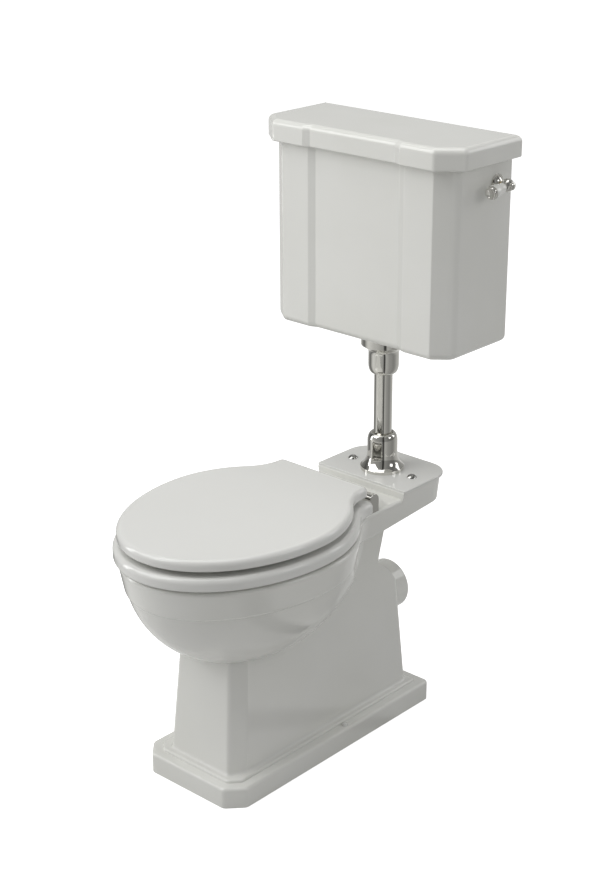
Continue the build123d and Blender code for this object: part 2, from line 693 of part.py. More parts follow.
def pan():
    """One china casting."""
    column = pedestal_solid(0, STEP_HEIGHT, BAND_LOW + SHELF_SLOPE_RISE) - hump_cut()
    base = foot() + column
    corner_line = [e for e in base.edges() if abs(e.center().Z - PLINTH_TOP) < 0.01 and on_pedestal(e)]
    base = fillet(corner_line, FLARE)
    skirt = prism(band_outline(BAND_LOW, BOWL_STEP), 0, BAND_LOW + BOWL_OVERLAP)
    outlet = rod_y(OUTLET_RADIUS, TRAP_CROWN_Y, OUTLET_END_Y, 0, OUTLET_Z)
    outlet = fillet(outlet.edges().sort_by(Axis.Y)[-1], OUTLET_ROUND)
    outlet += rod_y(COLLAR_RADIUS, TRAP_CROWN_Y, OUTLET_END_Y - SPIGOT_LENGTH, 0, OUTLET_Z)
    body = band_and_shelf() + (bowl_solid(0) & skirt) + base + outlet
    inner_skirt = prism(band_outline(BAND_LOW, BOWL_STEP + BOWL_WALL), 0, CHANNEL_TOP)
    body -= bowl_solid(BOWL_WALL) & inner_skirt
    body -= pan_hollow()
    body -= foot_hollow()
    body += rim_hole(RIM_LIP, PAN_HEIGHT - RIM_LIP_DEPTH, CHANNEL_TOP + 1)
    body -= rim_hole(0, PAN_HEIGHT - RIM_LIP_DEPTH - 1, PAN_HEIGHT + 1)
    body = fillet([edge for edge in body.edges() if in_rim_hole(edge)], RIM_EDGE_ROUND)
    body -= waterway(0)
    socket_start_y = OUTLET_END_Y - OUTLET_SOCKET_DEPTH
    body -= rod_y(OUTLET_SOCKET_RADIUS, socket_start_y, OUTLET_END_Y + 1, 0, OUTLET_Z)
    channel_back_y = PIPE_Y + INLET_RADIUS + CHANNEL_BEHIND_INLET
    body -= box(-CHANNEL_HALF, CHANNEL_HALF, DECK_START_Y, channel_back_y, CHANNEL_LOW, CHANNEL_TOP)
    body -= post(INLET_RADIUS, CHANNEL_TOP - 1, SHELF_TOP + 1)
    screw_hole = FLOOR_SCREW_RADIUS + SCREW_GAP
    for side in (-1, 1):
        body -= post(screw_hole, -1, STEP_HEIGHT + 1, side * FLOOR_SCREW_X, FLOOR_SCREW_Y)
        body -= post(STUD_BUSH_RADIUS, PAN_HEIGHT - STUD_BUSH_DEPTH, PAN_HEIGHT + 1, side * STUD_X, HINGE_Y)
        plate_screw_low = SHELF_TOP - PLATE_SCREW_DEPTH - 1
        body -= post(PLATE_SCREW_RADIUS, plate_screw_low, SHELF_TOP + 1, side * PLATE_SCREW_X, PIPE_Y)
    return body


def floor_screws():
    """Round-headed screws that hold the foot down; they end just inside the foot."""
    screw = domed_screw(FLOOR_SCREW_HEAD, FLOOR_SCREW_HEAD_HEIGHT, FLOOR_SCREW_RADIUS, STEP_HEIGHT - 1)
    return grouped(Pos(side * FLOOR_SCREW_X, FLOOR_SCREW_Y, STEP_HEIGHT) * screw for side in (-1, 1))


def floor_screw_caps():
    """Domed caps that snap over the screw heads."""
    cap = dome(FLOOR_CAP_RADIUS, FLOOR_CAP_HEIGHT)
    cap -= dome(FLOOR_CAP_RADIUS - FLOOR_CAP_SKIN, FLOOR_CAP_HEIGHT - FLOOR_CAP_SKIN)
    return grouped(Pos(side * FLOOR_SCREW_X, FLOOR_SCREW_Y, STEP_HEIGHT) * cap for side in (-1, 1))


# ---- Cover plate and flush pipe -------------------------------------------------------------
def cover_plate():
    """Flat plate over the shelf, round which the flush pipe's bell stands."""
    front_y = PLATFORM_START_Y + PLATE_SETBACK
    rear_y = SHELF_REAR_Y + PLATE_OVERHANG_REAR
    plate = box(-PLATE_HALF_WIDTH, PLATE_HALF_WIDTH, front_y, rear_y, SHELF_TOP, PLATE_TOP)
    upright = plate.edges().filter_by(Axis.Z)
    plate = fillet(upright.group_by(Axis.Y)[-1], PLATE_REAR_CORNER)
    plate = fillet(plate.edges().filter_by(Axis.Z).group_by(Axis.Y)[0], PLATE_FRONT_CORNER)
    plate = fillet(outer_edges(plate, PLATE_TOP), PLATE_ROUND)
    plate -= post(INLET_RADIUS, SHELF_TOP - 1, PLATE_TOP + 1)
    for side in (-1, 1):
        plate -= post(PLATE_SCREW_RADIUS + SCREW_GAP, SHELF_TOP - 1, PLATE_TOP + 1, side * PLATE_SCREW_X)
    return plate


def cover_plate_screws():
    """Two domed screws through the plate into the shelf."""
    screw = domed_screw(PLATE_SCREW_HEAD, PLATE_SCREW_HEAD_HEIGHT, PLATE_SCREW_RADIUS, PLATE_SCREW_DEPTH)
    return grouped(Pos(side * PLATE_SCREW_X, PIPE_Y, PLATE_TOP) * screw for side in (-1, 1))


def flush_pipe():
    """Straight tube from inside the pan's inlet to inside the valve's tail."""
    low_z = PLATE_TOP - PIPE_BELOW_PLATE
    high_z = CISTERN_LOW - PIPE_BELOW_CISTERN
    return tube(PIPE_RADIUS, PIPE_RADIUS - PIPE_WALL, low_z, high_z)


def flush_cone():
    """Rubber cone between the pipe and the pan's inlet, with a lip on the shelf's hole."""
    low_z = SHELF_TOP - CONE_LENGTH
    return turned(
        (PIPE_RADIUS, low_z),
        (INLET_RADIUS - CONE_TAPER, low_z),
        (INLET_RADIUS, low_z + CONE_TAPER_LENGTH),
        (INLET_RADIUS, PLATE_TOP),
        (PIPE_RADIUS, PLATE_TOP),
    )


def pipe_bell():
    """Bell that covers the joint between the pipe and the pan: flared foot, neck and shoulder."""
    neck_z = PLATE_TOP + BELL_FLARE_HEIGHT
    shoulder_z = PLATE_TOP + BELL_HEIGHT - BELL_SHOULDER
    top_z = PLATE_TOP + BELL_HEIGHT
    rim_z = PLATE_TOP + 2 * BELL_BASE_ROUND
    collar = PIPE_RADIUS + BELL_COLLAR
    edge = Polyline((PIPE_HOLE_RADIUS, PLATE_TOP), (BELL_BASE_RADIUS, PLATE_TOP))
    rim = Line(edge @ 1, (BELL_BASE_RADIUS, rim_z))
    out_pull = (BELL_BASE_RADIUS - BELL_BASE_PULL, rim_z + BELL_BASE_PULL)
    in_pull = (BELL_NECK_RADIUS, neck_z - BELL_NECK_PULL)
    flare = Bezier(rim @ 1, out_pull, in_pull, (BELL_NECK_RADIUS, neck_z))
    neck = Line(flare @ 1, (BELL_NECK_RADIUS, shoulder_z))
    shoulder_width = BELL_NECK_RADIUS - collar
    shoulder = EllipticalCenterArc((collar, shoulder_z), shoulder_width, BELL_SHOULDER, 0, arc_size=90)
    lip = Polyline(shoulder @ 1, (PIPE_HOLE_RADIUS, top_z - BELL_LIP), (PIPE_HOLE_RADIUS, PLATE_TOP))
    outside = make_face(edge + rim + flare + neck + shoulder + lip)
    bell = Pos(0, PIPE_Y, 0) * revolve(Plane.XZ * outside, Axis.Z)
    inside = BELL_NECK_RADIUS - BELL_SKIN
    hollow = turned(
        (0, PLATE_TOP - 1),
        (BELL_BASE_RADIUS - 2 * BELL_SKIN, PLATE_TOP - 1),
        (BELL_BASE_RADIUS - 2 * BELL_SKIN, PLATE_TOP + BELL_BASE_ROUND),
        (inside, neck_z - BELL_SKIN),
        (inside, shoulder_z - BELL_SKIN),
        (0, shoulder_z - BELL_SKIN),
    )
    return bell - hollow


def cup_nut():
    """Nut that clamps the pipe's seal against the valve's tail."""
    low_z = CISTERN_LOW - CUP_NUT_BOTTOM
    shoulder_z = CISTERN_LOW - CUP_NUT_SHOULDER
    high_z = CISTERN_LOW - CUP_NUT_TOP
    foot_radius = PIPE_RADIUS + CUP_NUT_LIP
    seat_z = low_z + CUP_NUT_GRIP
    under = Line((PIPE_HOLE_RADIUS, low_z), (foot_radius, low_z))
    swell_width = CUP_NUT_RADIUS - foot_radius
    swell_height = shoulder_z - low_z
    swell = EllipticalCenterArc((foot_radius, shoulder_z), swell_width, swell_height, 270, arc_size=90)
    rest = Polyline(
        swell @ 1,
        (CUP_NUT_RADIUS, high_z),
        (TAIL_HOLE_RADIUS, high_z),
        (TAIL_HOLE_RADIUS, seat_z),
        (PIPE_HOLE_RADIUS, seat_z),
        (PIPE_HOLE_RADIUS, low_z),
    )
    return Pos(0, PIPE_Y, 0) * revolve(Plane.XZ * make_face(under + swell + rest), Axis.Z)


def pipe_seal():
    """Rubber ring that the cup nut squeezes."""
    seat_z = CISTERN_LOW - CUP_NUT_BOTTOM + CUP_NUT_GRIP
    return tube(TAIL_RADIUS, PIPE_RADIUS, seat_z, seat_z + PIPE_SEAL_HEIGHT)


def top_bell():
    """Flared cover over the back nut, between the cup nut and the cistern."""
    low_z = CISTERN_LOW - CUP_NUT_TOP
    wide_z = CISTERN_LOW - TOP_BELL_FLARE
    under = Line((TAIL_HOLE_RADIUS, low_z), (CUP_NUT_RADIUS, low_z))
    low_pull = (CUP_NUT_RADIUS + 1, wide_z - TOP_BELL_PULL)
    high_pull = (TOP_BELL_RADIUS - TOP_BELL_PULL, wide_z - TOP_BELL_PULL)
    flare = Bezier(under @ 1, low_pull, high_pull, (TOP_BELL_RADIUS, wide_z))
    skin = TOP_BELL_RADIUS - TOP_BELL_SKIN
    rest = Polyline(
        flare @ 1,
        (TOP_BELL_RADIUS, CISTERN_LOW),
        (skin, CISTERN_LOW),
        (skin, wide_z + TOP_BELL_SKIN),
        (TAIL_HOLE_RADIUS, wide_z + TOP_BELL_SKIN),
        (TAIL_HOLE_RADIUS, low_z),
    )
    return Pos(0, PIPE_Y, 0) * revolve(Plane.XZ * make_face(under + flare + rest), Axis.Z)


# ---- Cistern --------------------------------------------------------------------------------
def panelled_outline(half_width, front_y, cut_x, cut_y, inset=0):
    """Outline with cut front corners and a sunk centre panel with splayed sides."""
    half = half_width - inset
    front = front_y + inset
    rear = WALL_Y - inset
    points = [
        (half, rear),
        (half, front + cut_y),
        (half - cut_x, front),
    ]
    if inset == 0:
        points += [(PANEL_HALF_WIDTH + PANEL_SPLAY, front), (PANEL_HALF_WIDTH, front + PANEL_DEPTH)]
    left = [(-x, y) for x, y in reversed(points)]
    return Polygon(*points, *left, align=None)


def front_uprights(solid, panel_y):
    """Upright edges of a panelled solid's front, no further back than its sunk panel."""
    return [edge for edge in solid.edges().filter_by(Axis.Z) if edge.center().Y < panel_y + 1]


def side_uprights(solid, side_x):
    """Upright edges where a panelled solid's corner cuts meet its sides."""
    upright = solid.edges().filter_by(Axis.Z)
    return [e for e in upright if abs(e.center().X) > side_x - 1 and e.center().Y < WALL_Y - 1]


def cistern_body():
    """China tank, open at the top."""
    outline = panelled_outline(CISTERN_SIDE_X, CISTERN_FRONT_Y, CISTERN_CUT_X, CISTERN_CUT_Y)
    shell = prism(outline, CISTERN_LOW, CISTERN_TOP)
    shell = fillet(front_uprights(shell, CISTERN_FRONT_Y + PANEL_DEPTH), PANEL_ROUND)
    shell = fillet(side_uprights(shell, CISTERN_SIDE_X), CISTERN_SIDE_ROUND)
    shell = fillet(outer_edges(shell, CISTERN_LOW), CISTERN_LOW_ROUND)
    cavity_outline = panelled_outline(
        CISTERN_SIDE_X, CISTERN_FRONT_Y + PANEL_DEPTH, CISTERN_CUT_X, CISTERN_CUT_Y, CISTERN_WALL
    )
    cavity = prism(cavity_outline, CISTERN_FLOOR_TOP, CISTERN_TOP + CISTERN_FLOOR)
    cavity = fillet(cavity.edges().filter_by(Axis.Z), CISTERN_INNER_ROUND)
    cavity = fillet(outer_edges(cavity, CISTERN_FLOOR_TOP), CISTERN_INNER_LOW_ROUND)
    shell -= cavity
    shell -= post(TAIL_HOLE_RADIUS, CISTERN_LOW - 1, CISTERN_FLOOR_TOP + 1)
    shell -= bar(FILL_SHANK_RADIUS + SCREW_GAP, -CISTERN_SIDE_X - 1, -CISTERN_INNER_X + 1, PIPE_Y, FILL_Z)
    shell -= bar(BUSH_RADIUS + SCREW_GAP, CISTERN_INNER_X - 1, CISTERN_SIDE_X + 1, LEVER_Y, LEVER_Z)
    for side in (-1, 1):
        screw_z = CISTERN_TOP - WALL_SCREW_BELOW_TOP
        screw_x = side * WALL_SCREW_SPACING / 2
        shell -= rod_y(WALL_SCREW_RADIUS, WALL_Y - CISTERN_WALL - 1, WALL_Y + 1, screw_x, screw_z)
    return shell


def cistern_lid():
    """China lid that overhangs the tank, with a flange inside its mouth."""
    half = CISTERN_SIDE_X + LID_OVERHANG_SIDE
    cut_x = CISTERN_CUT_X + LID_CUT_GROWTH
    cut_y = CISTERN_CUT_Y + LID_CUT_GROWTH
    front_y = CISTERN_FRONT_Y - LID_OVERHANG_FRONT
    lid = prism(panelled_outline(half, front_y, cut_x, cut_y), CISTERN_TOP, LID_TOP)
    panel_edges = [e for e in lid.edges().filter_by(Axis.Z) if abs(e.center().X) < half - cut_x - 1]
    lid = fillet([e for e in panel_edges if e.center().Y < WALL_Y - 1], PANEL_ROUND)
    cut_edges = [e for e in front_uprights(lid, front_y) if abs(e.center().X) > half - cut_x - 1]
    lid = fillet(cut_edges, LID_CUT_ROUND)
    lid = fillet(side_uprights(lid, half), LID_SIDE_ROUND)
    lid = fillet(outer_edges(lid, LID_TOP), LID_TOP_ROUND)
    lid = fillet(outer_edges(lid, CISTERN_TOP), LID_LOW_ROUND)
    lip_inset = CISTERN_WALL + LID_LIP_GAP
    front = CISTERN_FRONT_Y + PANEL_DEPTH
    lip_face = panelled_outline(CISTERN_SIDE_X, front, CISTERN_CUT_X, CISTERN_CUT_Y, lip_inset)
    lip = prism(lip_face, CISTERN_TOP - LID_LIP_DEPTH, CISTERN_TOP + 1)
    lip = fillet(lip.edges().filter_by(Axis.Z), LID_LIP_ROUND)
    hollow_face = panelled_outline(
        CISTERN_SIDE_X, front, CISTERN_CUT_X, CISTERN_CUT_Y, lip_inset + LID_LIP_WIDTH
    )
    return lid + lip - prism(hollow_face, CISTERN_TOP - LID_LIP_DEPTH - 1, LID_TOP - LID_SKIN)


# ---- Flush valve ----------------------------------------------------------------------------
def flush_valve_base():
    """Flange inside the cistern, threaded tail through its floor, and the seat of the valve."""
    return turned(
        (PIPE_HOLE_RADIUS, TAIL_BOTTOM),
        (TAIL_RADIUS, TAIL_BOTTOM),
        (TAIL_RADIUS, SEAL_TOP),
        (SEAL_RADIUS, SEAL_TOP),
        (SEAL_RADIUS, FLANGE_TOP),
        (VALVE_SEAT_RADIUS + VALVE_SEAT_SLOPE, FLANGE_TOP),
        (VALVE_SEAT_RADIUS, VALVE_SEAT_TOP),
        (PIPE_HOLE_RADIUS, VALVE_SEAT_TOP),
    )


def valve_seal_washer():
    """Rubber washer between the flange and the cistern's floor."""
    return tube(SEAL_RADIUS, TAIL_RADIUS + SCREW_GAP, CISTERN_FLOOR_TOP, SEAL_TOP)


def valve_back_nut():
    """Nut under the cistern that holds the valve's tail."""
    nut = hexagon_post(BACK_NUT_RADIUS, CISTERN_LOW - BACK_NUT_HEIGHT, CISTERN_LOW)
    return nut - post(TAIL_RADIUS + PIN_GAP, CISTERN_LOW - BACK_NUT_HEIGHT - 1, CISTERN_LOW + 1)


def flush_valve_tower():
    """Cage that guides the overflow tube, with water ports round its foot."""
    cage = tube(TOWER_RADIUS, TOWER_RADIUS - TOWER_WALL, FLANGE_TOP, TOWER_TOP)
    cage += post(TOWER_RADIUS, TOWER_TOP - TOWER_WALL, TOWER_TOP)
    cage += post(TOWER_BOSS_RADIUS, TOWER_TOP - TOWER_WALL, TOWER_BOSS_TOP)
    cage -= post(STEM_RADIUS + PIN_GAP, TOWER_TOP - 2 * TOWER_WALL, TOWER_BOSS_TOP + 1)
    window_low = FLANGE_TOP + TOWER_WINDOW_BASE
    window = box(
        0, 2 * TOWER_RADIUS, -TOWER_WINDOW_WIDTH / 2, TOWER_WINDOW_WIDTH / 2, window_low,
        window_low + TOWER_WINDOW_HEIGHT,
    )
    for turn in range(TOWER_WINDOWS):
        cage -= Pos(0, PIPE_Y, 0) * Rot(0, 0, 45 + turn * 360 / TOWER_WINDOWS) * window
    return cage


def overflow_tube():
    """Overflow tube with the valve disc at its foot; it lifts to flush."""
    disc_low = VALVE_SEAT_TOP + SEAT_GAP
    disc = post(VALVE_DISC_RADIUS, disc_low, disc_low + VALVE_DISC_HEIGHT)
    disc = chamfer(disc.edges().group_by(Axis.Z)[-1], VALVE_DISC_CHAMFER)
    disc += post(OVERFLOW_RADIUS, disc_low, TOWER_TOP - OVERFLOW_BELOW_TOWER)
    return disc - post(OVERFLOW_BORE, disc_low - 1, TOWER_TOP)


def push_cap():
    """Cap and stem that the lever's crank pushes down."""
    cap = post(CAP_RADIUS, CAP_LOW, CAP_TOP)
    cap = fillet(cap.edges().group_by(Axis.Z)[-1], CAP_ROUND)
    return cap + post(STEM_RADIUS, CAP_LOW - STEM_LENGTH, CAP_LOW)


def cap_spring():
    """Open coil between the tower and the cap."""
    low_z = TOWER_BOSS_TOP + SPRING_WIRE + SEAT_GAP
    high_z = CAP_LOW - SPRING_WIRE - SEAT_GAP
    path = Helix((high_z - low_z) / SPRING_TURNS, high_z - low_z, SPRING_RADIUS)
    wire = sweep(Plane(path @ 0, z_dir=path % 0) * Circle(SPRING_WIRE), path=path)
    return Pos(0, PIPE_Y, low_z) * wire


# ---- Flush lever ----------------------------------------------------------------------------
def lever_rosette():
    """Domed cover with a stepped rim, on the cistern's side round the spindle."""
    rim_x = CISTERN_SIDE_X + ROSETTE_RIM_HEIGHT
    crown = dome(ROSETTE_RADIUS - ROSETTE_STEP, ROSETTE_HEIGHT - ROSETTE_RIM_HEIGHT)
    rosette = bar(ROSETTE_RADIUS, CISTERN_SIDE_X, rim_x, LEVER_Y, LEVER_Z)
    rosette += Pos(rim_x, LEVER_Y, LEVER_Z) * Rot(0, 90, 0) * crown
    out_x = CISTERN_SIDE_X + BUSH_STAND_OUT
    rosette -= bar(BUSH_RADIUS + PIN_GAP, CISTERN_SIDE_X - 1, out_x + SEAT_GAP, LEVER_Y, LEVER_Z)
    return rosette - bar(SPINDLE_RADIUS + PIN_GAP, CISTERN_SIDE_X, KNUCKLE_X, LEVER_Y, LEVER_Z)


def lever_bush():
    """Threaded bush through the cistern's side."""
    in_x = CISTERN_INNER_X - BUSH_STAND_IN
    bush = bar(BUSH_RADIUS, in_x, CISTERN_SIDE_X + BUSH_STAND_OUT, LEVER_Y, LEVER_Z)
    return bush - bar(SPINDLE_RADIUS + PIN_GAP, in_x - 1, KNUCKLE_X, LEVER_Y, LEVER_Z)


def lever_bush_nut():
    """Nut inside the cistern that holds the bush."""
    blank = Rot(0, 90, 0) * extrude(RegularPolygon(BUSH_NUT_RADIUS, 6), BUSH_NUT_WIDTH)
    nut = Pos(CISTERN_INNER_X - BUSH_NUT_WIDTH, LEVER_Y, LEVER_Z) * blank
    return nut - bar(BUSH_RADIUS + PIN_GAP, 0, CISTERN_SIDE_X, LEVER_Y, LEVER_Z)


def lever_spindle():
    """Shaft from its nut, through the knuckle, to the crank above the flush valve."""
    return bar(SPINDLE_RADIUS, -CRANK_WIDTH / 2, SPINDLE_END_X, LEVER_Y, LEVER_Z)


def along_handle(shape):
    """Place a shape drawn along +Z from the knuckle's centre onto the handle's line."""
    return Pos(KNUCKLE_X, LEVER_Y, LEVER_Z) * Rot(90 + LEVER_DROOP, 0, 0) * shape


def handle_post(radius, near, far):
    """Cylinder along the handle's line between two distances from the knuckle's centre."""
    return along_handle(Pos(0, 0, (near + far) / 2) * Cylinder(radius, far - near))


def lever_knuckle():
    """Ball on the spindle, with a hole in its front for the handle's rod."""
    far_x = KNUCKLE_X + 2 * KNUCKLE_RADIUS
    ball = Pos(KNUCKLE_X, LEVER_Y, LEVER_Z) * Sphere(KNUCKLE_RADIUS)
    ball -= bar(SPINDLE_RADIUS + PIN_GAP, CISTERN_SIDE_X, far_x, LEVER_Y, LEVER_Z)
    return ball - handle_post(HANDLE_ROD_RADIUS + PIN_GAP, 0, 2 * KNUCKLE_RADIUS)


def spindle_nut():
    """Domed nut on the end of the spindle, seated against the knuckle."""
    bore = SPINDLE_RADIUS + PIN_GAP
    seat_x = KNUCKLE_X + sqrt(KNUCKLE_RADIUS**2 - bore**2)
    dome_x = SPINDLE_END_X + SPINDLE_NUT_SIDE
    nut = bar(SPINDLE_NUT_RADIUS, seat_x, dome_x, LEVER_Y, LEVER_Z)
    nut += Pos(dome_x, LEVER_Y, LEVER_Z) * Rot(0, 90, 0) * dome(SPINDLE_NUT_RADIUS, SPINDLE_NUT_DOME)
    return nut - bar(bore, KNUCKLE_X, SPINDLE_END_X + PIN_GAP, LEVER_Y, LEVER_Z)


def handle_rod():
    """Rod screwed into the knuckle."""
    return handle_post(HANDLE_ROD_RADIUS, HANDLE_ROD_START, HANDLE_END + HANDLE_CAP_LENGTH / 2)


def lever_handle():
    """China grip that widens towards its front end."""
    bore = HANDLE_ROD_RADIUS + PIN_GAP
    root = Line((bore, HANDLE_START), (HANDLE_ROOT_RADIUS, HANDLE_START))
    middle = HANDLE_START + HANDLE_LENGTH / 2
    pulls = ((HANDLE_ROOT_RADIUS, middle), (HANDLE_TIP_RADIUS, middle))
    side = Bezier(root @ 1, *pulls, (HANDLE_TIP_RADIUS, HANDLE_END))
    rest = Polyline(side @ 1, (bore, HANDLE_END), (bore, HANDLE_START))
    grip = revolve(Plane.XZ * make_face(root + side + rest), Axis.Z)
    root_edge = grip.edges().group_by(Axis.Z)[0].sort_by(SortBy.LENGTH)[-1]
    return along_handle(fillet(root_edge, HANDLE_ROOT_ROUND))


def lever_handle_cap():
    """Nut on the end of the rod, with a dished centre."""
    cap = Pos(0, 0, HANDLE_END + HANDLE_CAP_LENGTH / 2) * Cylinder(HANDLE_CAP_RADIUS, HANDLE_CAP_LENGTH)
    cap = fillet(cap.edges().group_by(Axis.Z)[-1], HANDLE_CAP_ROUND)
    dish_width = HANDLE_CAP_RADIUS - HANDLE_CAP_RIM
    dish_radius = (dish_width**2 + HANDLE_CAP_DISH**2) / (2 * HANDLE_CAP_DISH)
    front = HANDLE_END + HANDLE_CAP_LENGTH
    cap -= Pos(0, 0, front - HANDLE_CAP_DISH + dish_radius) * Sphere(dish_radius)
    cap -= Pos(0, 0, HANDLE_END) * Cylinder(HANDLE_ROD_RADIUS + PIN_GAP, HANDLE_CAP_LENGTH + 2 * PIN_GAP)
    return along_handle(cap)


def lever_crank():
    """Arm clamped on the spindle; its rounded tip lies over the push cap."""
    half = CRANK_WIDTH / 2
    arm = box(-half, half, PIPE_Y, LEVER_Y, LEVER_Z - CRANK_ARM_HEIGHT / 2, LEVER_Z + CRANK_ARM_HEIGHT / 2)
    arm += bar(CRANK_RADIUS, -half, half, LEVER_Y, LEVER_Z)
    arm += bar(CRANK_TIP_RADIUS, -half, half, PIPE_Y, LEVER_Z)
    arm -= bar(SPINDLE_RADIUS + PIN_GAP, -half - 1, half + 1, LEVER_Y, LEVER_Z)
    return arm - post(CRANK_SCREW_RADIUS + PIN_GAP, LEVER_Z, LEVER_Z + CRANK_RADIUS + 1, y=LEVER_Y)


def crank_screw():
    """Grub screw that clamps the crank."""
    low_z = LEVER_Z + SPINDLE_RADIUS + PIN_GAP
    return post(CRANK_SCREW_RADIUS, low_z, LEVER_Z + CRANK_RADIUS - CRANK_SCREW_SUNK, y=LEVER_Y)


# ---- Fill valve and float -------------------------------------------------------------------
def fill_valve_body():
    """Shank through the cistern's side with a thread on its end, valve barrel, and the arm's fork."""
    stub_x = -CISTERN_SIDE_X - FILL_STUB
    body = bar(FILL_THREAD_RADIUS, stub_x, FILL_NUT_X, PIPE_Y, FILL_Z)
    body += bar(FILL_SHANK_RADIUS, FILL_NUT_X, BARREL_START_X, PIPE_Y, FILL_Z)
    body += bar(FILL_BODY_RADIUS, BARREL_START_X, BARREL_END_X, PIPE_Y, FILL_Z)
    spout_high = FILL_Z - FILL_BODY_RADIUS + SPOUT_ROOT
    spout_low = FILL_Z - FILL_BODY_RADIUS - SPOUT_LENGTH
    spout_x = BARREL_START_X + SPOUT_RADIUS + 1
    body += tube(SPOUT_RADIUS, SPOUT_BORE, spout_low, spout_high, spout_x)
    body -= bar(FILL_BORE, stub_x - 1, BARREL_END_X + 1, PIPE_Y, FILL_Z)
    for side in (-1, 1):
        ear_y = PIPE_Y + side * (ARM_WIDTH / 2 + SEAT_GAP + FORK_THICKNESS / 2)
        body += box(
            BARREL_END_X - FORK_ROOT,
            ARM_PIVOT_X + FORK_EAR,
            ear_y - FORK_THICKNESS / 2,
            ear_y + FORK_THICKNESS / 2,
            ARM_PIVOT_Z - FORK_EAR,
            ARM_PIVOT_Z + FORK_EAR,
        )
    ears = 2 * FORK_THICKNESS + ARM_WIDTH
    return body - rod_y(ARM_PIN_RADIUS + PIN_GAP, PIPE_Y - ears, PIPE_Y + ears, ARM_PIVOT_X, ARM_PIVOT_Z)


def fill_valve_washer():
    """Rubber washer against the inside of the cistern."""
    outer = bar(FILL_BODY_RADIUS, BARREL_START_X - FILL_WASHER_WIDTH, BARREL_START_X, PIPE_Y, FILL_Z)
    return outer - bar(FILL_SHANK_RADIUS, -CISTERN_WIDTH, 0, PIPE_Y, FILL_Z)


def fill_valve_nut():
    """Back nut outside the cistern."""
    blank = Rot(0, -90, 0) * extrude(RegularPolygon(FILL_NUT_RADIUS, 6), FILL_NUT_WIDTH)
    nut = Pos(-CISTERN_SIDE_X, PIPE_Y, FILL_Z) * blank
    return nut - bar(FILL_SHANK_RADIUS + PIN_GAP, -CISTERN_WIDTH, 0, PIPE_Y, FILL_Z)


def fill_valve_piston():
    """Piston that the arm lets back to open the valve."""
    end_x = BARREL_END_X + PISTON_STAND_OUT
    return bar(PISTON_RADIUS, end_x - PISTON_LENGTH, end_x, PIPE_Y, FILL_Z)


def float_arm_pin():
    """Pin through the fork and the arm."""
    half = ARM_WIDTH / 2 + SEAT_GAP + FORK_THICKNESS
    return rod_y(ARM_PIN_RADIUS, PIPE_Y - half, PIPE_Y + half, ARM_PIVOT_X, ARM_PIVOT_Z)


def float_arm():
    """Arm from the fork down to the float, with a short toe that bears on the piston."""
    hub_radius = ARM_WIDTH / 2
    arm = Pos(ARM_LENGTH / 2, 0, 0) * Box(ARM_LENGTH, ARM_WIDTH, ARM_THICKNESS)
    arm = Rot(0, ARM_SLOPE, 0) * arm
    arm += Rot(90, 0, 0) * Cylinder(hub_radius, ARM_WIDTH)
    toe_x = BARREL_END_X + PISTON_STAND_OUT + SEAT_GAP - ARM_PIVOT_X
    toe_z = ARM_PIVOT_DROP + TOE_OVERREACH
    toe_corners = [(toe_x, toe_z), (toe_x, 0), (hub_radius, 0), (toe_x + TOE_THICKNESS, toe_z)]
    toe = Polygon(*toe_corners, align=None)
    arm += Plane.XZ * extrude(toe, ARM_WIDTH / 2, both=True)
    arm -= Rot(90, 0, 0) * Cylinder(ARM_PIN_RADIUS + PIN_GAP, 2 * ARM_WIDTH)
    return Pos(ARM_PIVOT_X, PIPE_Y, ARM_PIVOT_Z) * arm


def float_ball():
    """Hollow float under the end of the arm, level when the cistern is full."""
    slope = radians(ARM_SLOPE)
    end_x = ARM_PIVOT_X + ARM_LENGTH * cos(slope)
    end_z = ARM_PIVOT_Z - ARM_LENGTH * sin(slope)
    top_z = end_z - ARM_THICKNESS
    block = Pos(end_x, PIPE_Y, top_z - FLOAT_HEIGHT / 2) * Box(FLOAT_LENGTH, FLOAT_WIDTH, FLOAT_HEIGHT)
    block = fillet(block.edges(), FLOAT_ROUND)
    return block + post(ARM_WIDTH, top_z - 1, end_z - ARM_THICKNESS / 2, end_x)


# ---- Seat and lid ---------------------------------------------------------------------------
def seat_ring():
    """Ring with its opening and the tail that carries the hinge straps."""
    face = oval_with_tail(
        RING_HALF_WIDTH,
        SEAT_WIDEST_Y,
        RING_REACH,
        RING_TAIL_HALF,
        RING_TAIL_Y,
        RING_TURN_IN,
        RING_REAR_Y,
        RING_CORNER,
    )
    hole = Pos(0, RING_HOLE_Y, 0) * Ellipse(RING_HOLE_HALF_WIDTH, RING_HOLE_HALF_LENGTH)
    ring = prism(face, RING_LOW, RING_TOP) - prism(hole, RING_LOW - 1, RING_TOP + 1)
    ring = fillet(ring.edges().group_by(Axis.Z)[-1], RING_TOP_ROUND)
    ring = fillet(ring.edges().group_by(Axis.Z)[0], RING_LOW_ROUND)
    return ring - strap_screw_holes(RING_STRAP_X, RING_TOP, -1)


def seat_cover():
    """Seat lid: flat in the middle, with a broad rounded edge."""
    face = oval_with_tail(
        COVER_HALF_WIDTH,
        SEAT_WIDEST_Y,
        COVER_REACH,
        COVER_TAIL_HALF,
        COVER_TAIL_Y,
        COVER_TURN_IN,
        COVER_REAR_Y,
        COVER_CORNER,
    )
    cover = prism(face, COVER_LOW, COVER_TOP)
    cover = fillet(cover.edges().group_by(Axis.Z)[-1], COVER_TOP_ROUND)
    cover = fillet(cover.edges().group_by(Axis.Z)[0], COVER_LOW_ROUND)
    return cover - strap_screw_holes(COVER_STRAP_X, COVER_LOW, 1)


def strap_screw_ys():
    """Places of a strap's two screws."""
    rear_y = min(RING_REAR_Y, COVER_REAR_Y) - STRAP_SCREW_FROM_REAR
    return rear_y, HINGE_Y - STRAP_LENGTH + STRAP_SCREW_FROM_END


